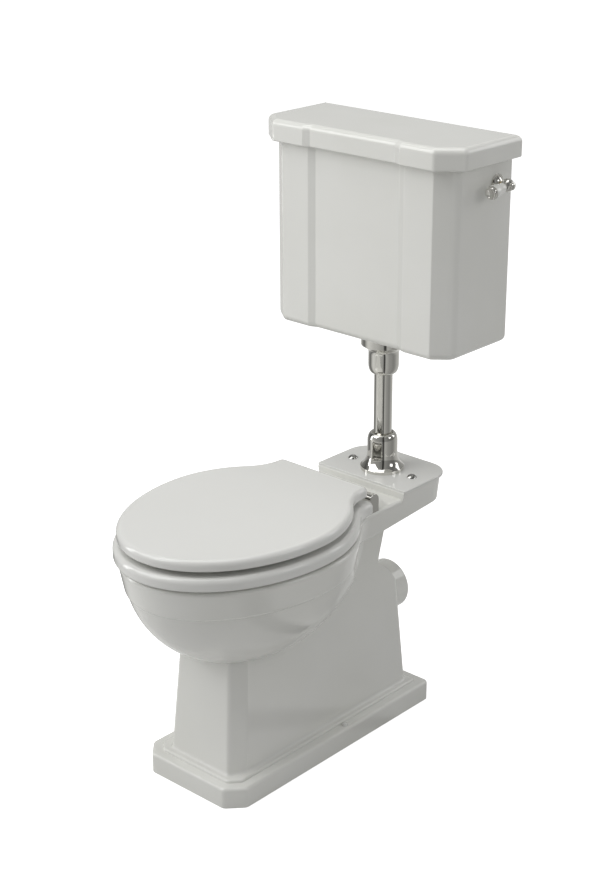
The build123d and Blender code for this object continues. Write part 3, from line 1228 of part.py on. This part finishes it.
def strap_screw_holes(strap_x, face_z, direction):
    """Blind holes for both straps' screws, above (+1) or below (-1) a face."""
    far_z = face_z + direction * (STRAP_SCREW_DEPTH - STRAP_THICKNESS + 1)
    low_z, high_z = sorted((face_z - direction, far_z))
    places = [(side * strap_x, y) for side in (-1, 1) for y in strap_screw_ys()]
    return Part() + [post(STRAP_SCREW_RADIUS, low_z, high_z, x, y) for x, y in places]


def buffers(low_z, high_z, rear_x):
    """Four rubber buffers between two levels."""
    places = [(FRONT_BUFFER_X, FRONT_BUFFER_Y), (rear_x, REAR_BUFFER_Y)]
    shapes = [post(BUFFER_RADIUS, low_z, high_z, side * x, y) for x, y in places for side in (-1, 1)]
    return grouped(fillet(shape.edges().group_by(Axis.Z)[0], BUFFER_ROUND) for shape in shapes)


# ---- Hinge ----------------------------------------------------------------------------------
def strap_plate(z_low):
    """Strap's flat plate, with holes for its two screws."""
    half = STRAP_WIDTH / 2
    plate = box(-half, half, HINGE_Y - STRAP_LENGTH, HINGE_Y, z_low, z_low + STRAP_THICKNESS)
    for y in strap_screw_ys():
        plate -= post(STRAP_SCREW_RADIUS, z_low - 1, z_low + STRAP_THICKNESS + 1, y=y)
    return plate


def knuckle():
    """Hinge knuckle round the rod, centred on the strap."""
    return bar(HINGE_KNUCKLE_RADIUS, -STRAP_WIDTH / 2, STRAP_WIDTH / 2, HINGE_Y, HINGE_Z)


def rod_hole():
    """Hole for the rod, through one knuckle."""
    return bar(ROD_HOLE_RADIUS, -PILLAR_WIDTH, PILLAR_WIDTH, HINGE_Y, HINGE_Z)


def ring_straps():
    """Pair of straps that lie on the ring."""
    strap = strap_plate(RING_TOP) + knuckle() - rod_hole()
    return grouped(Pos(side * RING_STRAP_X, 0, 0) * strap for side in (-1, 1))


def cover_straps():
    """Pair of cranked straps under the lid."""
    low_z = COVER_LOW - STRAP_THICKNESS
    half = STRAP_WIDTH / 2
    crank = Plane.YZ * Polygon(
        (HINGE_Y - HINGE_KNUCKLE_RADIUS, HINGE_Z),
        (HINGE_Y, HINGE_Z + HINGE_KNUCKLE_RADIUS),
        (HINGE_Y, COVER_LOW),
        (HINGE_Y - HINGE_KNUCKLE_RADIUS, COVER_LOW),
        align=None,
    )
    strap = strap_plate(low_z) + knuckle() + extrude(crank, half, both=True) - rod_hole()
    return grouped(Pos(side * COVER_STRAP_X, 0, 0) * strap for side in (-1, 1))


def strap_screw(down):
    """Small domed screw, its head on the strap and its point away from it."""
    screw = domed_screw(STRAP_SCREW_HEAD, STRAP_SCREW_HEAD_HEIGHT, STRAP_SCREW_RADIUS, STRAP_SCREW_DEPTH)
    return screw if down else Rot(180, 0, 0) * screw


def strap_screws(strap_x, head_z, down):
    """Both straps' screws."""
    places = [Pos(side * strap_x, y, head_z) for side in (-1, 1) for y in strap_screw_ys()]
    return grouped(place * strap_screw(down) for place in places)


def hinge_rod():
    """Rod through all the knuckles, its ends hidden in the pillars."""
    end = PILLAR_X + PILLAR_WIDTH / 2 - PILLAR_SKIN - SEAT_GAP
    return bar(ROD_RADIUS, -end, end, HINGE_Y, HINGE_Z)


def hinge_pillars():
    """Round-topped pillars on the deck, open underneath for their studs."""
    x_low = PILLAR_X - PILLAR_WIDTH / 2
    x_high = PILLAR_X + PILLAR_WIDTH / 2
    pillar = bar(PILLAR_RADIUS, x_low, x_high, HINGE_Y, HINGE_Z)
    pillar += box(x_low, x_high, HINGE_Y - PILLAR_RADIUS, HINGE_Y + PILLAR_RADIUS, PAN_HEIGHT, HINGE_Z)
    outer = [edge for edge in pillar.edges() if abs(edge.center().X - x_high) < 0.01]
    pillar = fillet([edge for edge in outer if edge.center().Z > HINGE_Z - 1], PILLAR_ROUND)
    pillar -= bar(ROD_HOLE_RADIUS, x_low - 1, x_high - PILLAR_SKIN, HINGE_Y, HINGE_Z)
    collar_top = PAN_HEIGHT + STUD_COLLAR_HEIGHT + SEAT_GAP
    pillar -= post(STUD_COLLAR_RADIUS + PIN_GAP, PAN_HEIGHT - 1, collar_top, STUD_X, HINGE_Y)
    return mirrored(pillar)


def hinge_studs():
    """Studs whose collars carry the pillars and whose screws spread the bushes."""
    collar = post(STUD_COLLAR_RADIUS, PAN_HEIGHT, PAN_HEIGHT + STUD_COLLAR_HEIGHT, STUD_X, HINGE_Y)
    return mirrored(collar + post(STUD_RADIUS, STUD_LOW, PAN_HEIGHT, STUD_X, HINGE_Y))


def hinge_bushes():
    """Rubber bushes in the deck's blind holes."""
    bush = post(STUD_BUSH_RADIUS, PAN_HEIGHT - STUD_BUSH_DEPTH, PAN_HEIGHT, STUD_X, HINGE_Y)
    return mirrored(bush - post(STUD_RADIUS, STUD_LOW, PAN_HEIGHT + 1, STUD_X, HINGE_Y))


# ---- All the pieces -------------------------------------------------------------------------
NODES = {
    "pan": pan(),
    "floor_screws": floor_screws(),
    "floor_screw_caps": floor_screw_caps(),
    "cover_plate": cover_plate(),
    "cover_plate_screws": cover_plate_screws(),
    "flush_pipe": flush_pipe(),
    "flush_cone": flush_cone(),
    "pipe_bell": pipe_bell(),
    "cup_nut": cup_nut(),
    "pipe_seal": pipe_seal(),
    "top_bell": top_bell(),
    "cistern_body": cistern_body(),
    "cistern_lid": cistern_lid(),
    "flush_valve_base": flush_valve_base(),
    "valve_seal_washer": valve_seal_washer(),
    "valve_back_nut": valve_back_nut(),
    "flush_valve_tower": flush_valve_tower(),
    "overflow_tube": overflow_tube(),
    "push_cap": push_cap(),
    "cap_spring": cap_spring(),
    "lever_rosette": lever_rosette(),
    "lever_bush": lever_bush(),
    "lever_bush_nut": lever_bush_nut(),
    "lever_spindle": lever_spindle(),
    "lever_knuckle": lever_knuckle(),
    "spindle_nut": spindle_nut(),
    "handle_rod": handle_rod(),
    "lever_handle": lever_handle(),
    "lever_handle_cap": lever_handle_cap(),
    "lever_crank": lever_crank(),
    "crank_screw": crank_screw(),
    "fill_valve_body": fill_valve_body(),
    "fill_valve_washer": fill_valve_washer(),
    "fill_valve_nut": fill_valve_nut(),
    "fill_valve_piston": fill_valve_piston(),
    "float_arm": float_arm(),
    "float_arm_pin": float_arm_pin(),
    "float": float_ball(),
    "seat_ring": seat_ring(),
    "ring_buffers": buffers(PAN_HEIGHT + SEAT_GAP, RING_LOW, REAR_RING_BUFFER_X),
    "ring_straps": ring_straps(),
    "ring_strap_screws": strap_screws(RING_STRAP_X, RING_TOP + STRAP_THICKNESS, True),
    "seat_lid": seat_cover(),
    "lid_buffers": buffers(RING_TOP + SEAT_GAP, COVER_LOW, REAR_COVER_BUFFER_X),
    "lid_straps": cover_straps(),
    "lid_strap_screws": strap_screws(COVER_STRAP_X, COVER_LOW - STRAP_THICKNESS, False),
    "hinge_rod": hinge_rod(),
    "hinge_pillars": hinge_pillars(),
    "hinge_studs": hinge_studs(),
    "hinge_bushes": hinge_bushes(),
}
for name, shape in NODES.items():
    export_step(shape, f"parts/{name}.step")
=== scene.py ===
import json
import math

import bpy
from mathutils import Matrix, Vector


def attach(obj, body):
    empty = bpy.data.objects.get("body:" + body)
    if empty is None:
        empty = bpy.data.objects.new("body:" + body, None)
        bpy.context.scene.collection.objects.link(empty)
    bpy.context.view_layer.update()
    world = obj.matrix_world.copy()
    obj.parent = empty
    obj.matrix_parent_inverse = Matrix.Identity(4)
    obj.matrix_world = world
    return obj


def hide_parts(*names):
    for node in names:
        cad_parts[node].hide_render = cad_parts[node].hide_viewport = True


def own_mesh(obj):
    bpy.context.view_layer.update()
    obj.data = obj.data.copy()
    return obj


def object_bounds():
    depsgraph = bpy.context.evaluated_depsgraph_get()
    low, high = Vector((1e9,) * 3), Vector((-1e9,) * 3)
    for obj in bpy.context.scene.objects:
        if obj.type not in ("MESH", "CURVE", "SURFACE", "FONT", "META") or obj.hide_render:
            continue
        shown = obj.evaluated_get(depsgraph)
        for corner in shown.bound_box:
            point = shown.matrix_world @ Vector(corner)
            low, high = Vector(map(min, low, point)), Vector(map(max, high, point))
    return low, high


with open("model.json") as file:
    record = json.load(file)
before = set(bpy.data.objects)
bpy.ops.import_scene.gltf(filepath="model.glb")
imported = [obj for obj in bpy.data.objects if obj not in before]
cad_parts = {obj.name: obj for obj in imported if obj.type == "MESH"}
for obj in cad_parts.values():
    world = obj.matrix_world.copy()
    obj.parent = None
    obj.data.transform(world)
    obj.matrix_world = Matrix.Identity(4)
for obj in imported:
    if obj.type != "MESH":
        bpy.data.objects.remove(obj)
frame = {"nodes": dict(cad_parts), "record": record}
cad_low, cad_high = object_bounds()
nodes = frame["nodes"]


# ---- Studio values: metres, watts, degrees, and tones from 0 to 1 ---------------------------

FLOOR_SIDE = 60.0
FLOOR_TONE = 0.62
FLOOR_LIFT = 0.85  # what the floor gives off to the eye alone
ROOM_LIGHT = 0.345  # what the room sheds on the object
ROOM_WHITE = 1.0  # what the eye sees of the room

# What polished metal sees around it: share of a full turn, anticlockwise from -X, and the tone there.
ROOM_BANDS = [
    (0.0, 0.28), (0.03, 0.16), (0.13, 0.72), (0.25, 0.52), (0.35, 0.36), (0.37, 0.05),
    (0.385, 0.05), (0.41, 0.46), (0.50, 0.32), (0.58, 0.26), (0.70, 0.48), (0.86, 0.75), (1.0, 0.28),
]
BAND_WARMTH = 0.97  # share of blue in a band's tone
MIRRORED_FLOOR = 1.0  # strength of the bands on the floor
MIRRORED_ROOM = 0.6  # strength of the bands in the room

OBJECT_CENTRE = (cad_low + cad_high) / 2
PIPE_BOX = nodes["flush_pipe"].bound_box
PIPE_Y = sum(corner[1] for corner in PIPE_BOX) / len(PIPE_BOX)

# Name, place, target, width and height, power.
SOFTBOXES = [
    ("key", (-1.6, -2.6, 3.6), OBJECT_CENTRE, (3.0, 3.0), 65),
    ("overhead", (-0.3, -0.2, 4.3), OBJECT_CENTRE, (3.2, 3.2), 50),
    ("right_fill", (2.4, 0.9, 1.9), (0.2, 0.25, 0.9), (0.8, 0.8), 5),
    ("left_strip", (-2.6, -1.6, 1.2), OBJECT_CENTRE, (0.6, 2.2), 15),
    ("back_strip", (1.6, 2.8, 1.9), OBJECT_CENTRE, (1.0, 1.6), 8),
]

CAMERA_PLACE = (1.97077, -2.12404, 1.75448)
CAMERA_BEARING = 41.53
CAMERA_DIP = 21.62  # below the horizon
CAMERA_ROLL = 0.10
CAMERA_LENS = 71.6  # millimetres
CAMERA_SENSOR = 36  # millimetres
CAMERA_SHIFT = (-0.0203, -0.0009)


# ---- Node helpers ---------------------------------------------------------------------------

class Surface:
    """A material whose nodes read the row frame, in metres."""

    def __init__(self, name, metallic=0.0, coat=0.0, coat_roughness=0.03, specular=0.5):
        self.material = bpy.data.materials.new(name)
        self.material.use_nodes = True
        self.tree = self.material.node_tree
        self.shader = self.tree.nodes["Principled BSDF"]
        self.shader.inputs["Metallic"].default_value = metallic
        self.shader.inputs["Coat Weight"].default_value = coat
        self.shader.inputs["Coat Roughness"].default_value = coat_roughness
        self.shader.inputs["Specular IOR Level"].default_value = specular
        self.place = self.tree.nodes.new("ShaderNodeTexCoord").outputs["Object"]

    def link(self, source, target):
        self.tree.links.new(source, target)

    def stretched(self, scale):
        """The place, stretched by a factor along each axis."""
        mapping = self.tree.nodes.new("ShaderNodeMapping")
        mapping.inputs["Scale"].default_value = scale
        self.link(self.place, mapping.inputs["Vector"])
        return mapping.outputs["Vector"]

    def noise(self, scale, detail=3.0, place=None):
        """Cloudy pattern around 0.5; a larger scale gives smaller clouds."""
        texture = self.tree.nodes.new("ShaderNodeTexNoise")
        texture.inputs["Scale"].default_value = scale
        texture.inputs["Detail"].default_value = detail
        self.link(place or self.place, texture.inputs["Vector"])
        return texture.outputs["Fac"]

    def specks(self, scale, low, high):
        """Small round spots: 1 within the low distance from their middle, 0 beyond the high one."""
        texture = self.tree.nodes.new("ShaderNodeTexVoronoi")
        texture.inputs["Scale"].default_value = scale
        self.link(self.place, texture.inputs["Vector"])
        return self.ramp(texture.outputs["Distance"], high, low)

    def ramp(self, value, low, high, to_low=0.0, to_high=1.0):
        """The value's range from low to high, spread over another range and held at its ends."""
        spread = self.tree.nodes.new("ShaderNodeMapRange")
        spread.inputs["From Min"].default_value = low
        spread.inputs["From Max"].default_value = high
        spread.inputs["To Min"].default_value = to_low
        spread.inputs["To Max"].default_value = to_high
        self.link(value, spread.inputs["Value"])
        return spread.outputs["Result"]

    def mixed(self, share, first, second):
        """Colour between two colours; either may be another node's output."""
        mix = self.tree.nodes.new("ShaderNodeMix")
        mix.data_type = "RGBA"
        self.link(share, mix.inputs["Factor"])
        for socket, colour in ((mix.inputs["A"], first), (mix.inputs["B"], second)):
            if isinstance(colour, tuple):
                socket.default_value = (*colour, 1.0)
            else:
                self.link(colour, socket)
        return mix.outputs["Result"]

    def added(self, first, second):
        node = self.tree.nodes.new("ShaderNodeMath")
        node.operation = "ADD"
        self.link(first, node.inputs[0])
        self.link(second, node.inputs[1])
        return node.outputs["Value"]

    def colour(self, source):
        self.link(source, self.shader.inputs["Base Color"])

    def roughness(self, source):
        self.link(source, self.shader.inputs["Roughness"])

    def relief(self, *layers):
        """Bumps laid over each other: pairs of a height and its depth in metres."""
        normal = None
        for height, depth in layers:
            bump = self.tree.nodes.new("ShaderNodeBump")
            bump.inputs["Distance"].default_value = depth
            self.link(height, bump.inputs["Height"])
            if normal is not None:
                self.link(normal, bump.inputs["Normal"])
            normal = bump.outputs["Normal"]
        self.link(normal, self.shader.inputs["Normal"])
        self.link(normal, self.shader.inputs["Coat Normal"])


# ---- Materials ------------------------------------------------------------------------------

CLOUDS = (0.3, 0.7)  # the range that most of a noise lies in
PINHOLE_SHADE = 0.93  # a pinhole's tone, as a share of the glaze's dark tone


def glaze():
    """Fired glaze: a little uneven in tone, softly rippled, with pinholes."""
    dark, light = (0.80, 0.80, 0.755), (0.845, 0.845, 0.81)
    surface = Surface("glaze", coat=0.6)
    cloud = surface.noise(4.0)
    pinholes = surface.specks(70.0, 0.02, 0.05)
    tone = surface.mixed(surface.ramp(cloud, *CLOUDS), dark, light)
    pinhole_tone = tuple(PINHOLE_SHADE * part for part in dark)
    surface.colour(surface.mixed(pinholes, tone, pinhole_tone))
    surface.roughness(surface.ramp(surface.noise(25.0), *CLOUDS, 0.06, 0.11))
    surface.relief((surface.noise(7.0, 1.0), 0.0004), (surface.noise(220.0, 2.0), 0.00002))
    return surface.material


def seat_plastic():
    """Polished thermoset: flatter and cleaner than the glaze, with fine rubbing marks."""
    surface = Surface("seat_white", coat=0.35, coat_roughness=0.05)
    tone = surface.mixed(surface.noise(3.0), (0.775, 0.775, 0.745), (0.81, 0.81, 0.785))
    surface.colour(tone)
    rubs = surface.noise(60.0, 4.0, surface.stretched((1.0, 6.0, 1.0)))
    surface.roughness(surface.ramp(rubs, *CLOUDS, 0.08, 0.13))
    surface.relief((surface.noise(5.0, 1.0), 0.0003), (surface.noise(500.0, 2.0), 0.00001))
    return surface.material


def chrome(name, dark, light):
    """Plated metal: faint polishing waves, and dried water spots that dull it."""
    surface = Surface(name, metallic=1.0)
    surface.colour(surface.mixed(surface.noise(12.0), dark, light))
    spots = surface.specks(160.0, 0.03, 0.12)
    fine = surface.ramp(surface.noise(90.0, 4.0), *CLOUDS, 0.03, 0.07)
    surface.roughness(surface.added(fine, surface.ramp(spots, 0.0, 1.0, 0.0, 0.05)))
    surface.relief((surface.noise(35.0, 1.0), 0.00015), (surface.noise(600.0, 2.0), 0.000004))
    return surface.material


def brass():
    """Turned brass with machining lines and a dull patina."""
    surface = Surface("brass", metallic=1.0)
    patina = surface.ramp(surface.noise(45.0, 5.0), 0.45, 0.75)
    surface.colour(surface.mixed(patina, (0.72, 0.56, 0.29), (0.50, 0.37, 0.20)))
    lines = surface.noise(40.0, 2.0, surface.stretched((30.0, 1.0, 1.0)))
    surface.roughness(surface.ramp(patina, 0.0, 1.0, 0.26, 0.48))
    surface.relief((lines, 0.00003))
    return surface.material


def plated_steel():
    """Zinc-plated steel with a fine crystalline bloom."""
    surface = Surface("steel", metallic=1.0)
    bloom = surface.noise(150.0, 5.0)
    surface.colour(surface.mixed(bloom, (0.50, 0.51, 0.52), (0.68, 0.68, 0.67)))
    surface.roughness(surface.ramp(bloom, *CLOUDS, 0.28, 0.42))
    surface.relief((bloom, 0.00002))
    return surface.material


def rubber(name, dark, light):
    """Moulded rubber: matt, with a fine grain and a dusty bloom."""
    surface = Surface(name, specular=0.35)
    bloom = surface.noise(55.0, 4.0)
    surface.colour(surface.mixed(surface.ramp(bloom, 0.35, 0.7), dark, light))
    surface.roughness(surface.ramp(bloom, *CLOUDS, 0.62, 0.80))
    surface.relief((surface.noise(900.0, 2.0), 0.00003))
    return surface.material


def valve_plastic():
    """Moulded plastic with a spark-eroded grain."""
    surface = Surface("valve_plastic", specular=0.45)
    surface.colour(surface.mixed(surface.noise(8.0), (0.74, 0.74, 0.71), (0.80, 0.80, 0.78)))
    surface.roughness(surface.ramp(surface.noise(40.0, 4.0), *CLOUDS, 0.38, 0.50))
    surface.relief((surface.noise(700.0, 3.0), 0.00004))
    return surface.material


MATERIALS = {
    "glaze": glaze(),
    "seat_white": seat_plastic(),
    "chrome": chrome("chrome", (0.70, 0.69, 0.655), (0.79, 0.78, 0.75)),
    "brass": brass(),
    "steel": plated_steel(),
    "buffer_rubber": rubber("buffer_rubber", (0.60, 0.60, 0.57), (0.70, 0.70, 0.67)),
    "seal_rubber": rubber("seal_rubber", (0.03, 0.03, 0.03), (0.07, 0.07, 0.07)),
    "valve_plastic": valve_plastic(),
}

for part in frame["record"]["subparts"]:
    data = nodes[part["node"]].data
    data.materials.clear()
    data.materials.append(MATERIALS[part["material_slot"]])

# Painted dark reflection: the screw heads get a darker copy of the chrome, standing in for the dark
# surroundings they reflect.
dark_reflection_chrome = chrome("dark_reflection_chrome", (0.36, 0.36, 0.35), (0.50, 0.50, 0.48))
nodes["cover_plate_screws"].data.materials[0] = dark_reflection_chrome


# ---- Spring under the push cap --------------------------------------------------------------

def pressed_spring():
    """The cap's spring as a copy of its own, fixed to the root body, with the original part hidden.
    """
    node = nodes["cap_spring"]
    spring = bpy.data.objects.new("pressed_spring", node.data.copy())
    spring.matrix_world = node.matrix_world
    bpy.context.scene.collection.objects.link(spring)
    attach(spring, "root")
    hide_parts("cap_spring")
    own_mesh(spring)


pressed_spring()


# ---- Studio ---------------------------------------------------------------------------------

def seen_by_camera(tree, others, camera_sees):
    """Strength that is one number for camera rays and another for all others."""
    path = tree.nodes.new("ShaderNodeLightPath")
    strength = tree.nodes.new("ShaderNodeMapRange")
    strength.inputs["To Min"].default_value = others
    strength.inputs["To Max"].default_value = camera_sees
    tree.links.new(path.outputs["Is Camera Ray"], strength.inputs["Value"])
    return strength.outputs["Result"]


def dark_bands(tree, direction):
    """Colour of the pale room with its dark upright bands, in a direction."""
    bearing = tree.nodes.new("ShaderNodeTexGradient")
    bearing.gradient_type = "RADIAL"
    tree.links.new(direction, bearing.inputs["Vector"])
    bands = tree.nodes.new("ShaderNodeValToRGB")
    bands.color_ramp.interpolation = "EASE"
    stops = bands.color_ramp.elements
    while len(stops) < len(ROOM_BANDS):
        stops.new(stops[0].position)  # moved to its own place below
    for stop, (share, tone) in zip(stops, ROOM_BANDS):
        stop.position = share
        stop.color = (tone, tone, BAND_WARMTH * tone, 1.0)
    tree.links.new(bearing.outputs["Fac"], bands.inputs["Fac"])
    return bands.outputs["Color"]


def bands_to_metal(tree, plain, kind, strength, direction):
    """The plain shader for all rays but glossy ones, which see the dark bands instead."""
    mirrored = tree.nodes.new(kind)
    mirrored.inputs["Strength"].default_value = strength
    tree.links.new(dark_bands(tree, direction), mirrored.inputs["Color"])
    path = tree.nodes.new("ShaderNodeLightPath")
    choice = tree.nodes.new("ShaderNodeMixShader")
    tree.links.new(path.outputs["Is Glossy Ray"], choice.inputs[0])
    tree.links.new(plain, choice.inputs[1])
    tree.links.new(mirrored.outputs[0], choice.inputs[2])
    return choice.outputs["Shader"]


def floor_material():
    """White paper that keeps the object's shadow; its lift shows only to the eye."""
    material = bpy.data.materials.new("floor_white")
    material.use_nodes = True
    tree = material.node_tree
    tree.nodes.remove(tree.nodes["Principled BSDF"])
    paper = tree.nodes.new("ShaderNodeBsdfDiffuse")
    paper.inputs["Color"].default_value = (FLOOR_TONE, FLOOR_TONE, FLOOR_TONE, 1.0)
    lift = tree.nodes.new("ShaderNodeEmission")
    tree.links.new(seen_by_camera(tree, 0.0, FLOOR_LIFT), lift.inputs["Strength"])
    both = tree.nodes.new("ShaderNodeAddShader")
    tree.links.new(paper.outputs["BSDF"], both.inputs[0])
    tree.links.new(lift.outputs["Emission"], both.inputs[1])
    plain = both.outputs["Shader"]
    place = tree.nodes.new("ShaderNodeTexCoord").outputs["Object"]
    from_pipe = tree.nodes.new("ShaderNodeMapping")
    from_pipe.inputs["Location"].default_value = (0.0, -PIPE_Y, 0.0)
    tree.links.new(place, from_pipe.inputs["Vector"])
    direction = from_pipe.outputs["Vector"]
    shown = bands_to_metal(tree, plain, "ShaderNodeEmission", MIRRORED_FLOOR, direction)
    tree.links.new(shown, tree.nodes["Material Output"].inputs["Surface"])
    return material


def floor():
    half = FLOOR_SIDE / 2
    mesh = bpy.data.meshes.new("floor")
    corners = [(-half, -half, 0), (half, -half, 0), (half, half, 0), (-half, half, 0)]
    mesh.from_pydata(corners, [], [(0, 1, 2, 3)])
    mesh.materials.append(floor_material())
    sheet = bpy.data.objects.new("floor", mesh)
    bpy.context.scene.collection.objects.link(sheet)


def room():
    """Even pale light from all around; to the eye it is white."""
    world = bpy.data.worlds.new("room")
    bpy.context.scene.world = world
    world.use_nodes = True
    tree = world.node_tree
    background = tree.nodes["Background"]
    background.inputs["Color"].default_value = (1.0, 1.0, 1.0, 1.0)
    tree.links.new(seen_by_camera(tree, ROOM_LIGHT, ROOM_WHITE), background.inputs["Strength"])
    plain = background.outputs["Background"]
    direction = tree.nodes.new("ShaderNodeTexCoord").outputs["Generated"]
    shown = bands_to_metal(tree, plain, "ShaderNodeBackground", MIRRORED_ROOM, direction)
    tree.links.new(shown, tree.nodes["World Output"].inputs["Surface"])


def facing(place, target):
    """Placement at a point with the local -Z axis towards a target."""
    direction = Vector(target) - Vector(place)
    return Matrix.Translation(place) @ direction.to_track_quat("-Z", "Y").to_matrix().to_4x4()


def softbox(name, place, target, size, power):
    light = bpy.data.lights.new(name, "AREA")
    light.shape = "RECTANGLE"
    light.size, light.size_y = size
    light.energy = power
    lamp = bpy.data.objects.new(name, light)
    lamp.matrix_world = facing(place, target)
    bpy.context.scene.collection.objects.link(lamp)


def camera():
    optics = bpy.data.cameras.new("camera")
    optics.sensor_width = CAMERA_SENSOR
    optics.lens = CAMERA_LENS
    optics.shift_x, optics.shift_y = CAMERA_SHIFT
    stand = bpy.data.objects.new("camera", optics)
    stand.matrix_world = (
        Matrix.Translation(CAMERA_PLACE)
        @ Matrix.Rotation(math.radians(CAMERA_BEARING), 4, "Z")
        @ Matrix.Rotation(math.radians(90 - CAMERA_DIP), 4, "X")
        @ Matrix.Rotation(math.radians(CAMERA_ROLL), 4, "Z")
    )
    bpy.context.scene.collection.objects.link(stand)
    bpy.context.scene.camera = stand


floor()
room()
for box in SOFTBOXES:
    softbox(*box)
camera()
bpy.context.scene.view_settings.view_transform = "Standard"
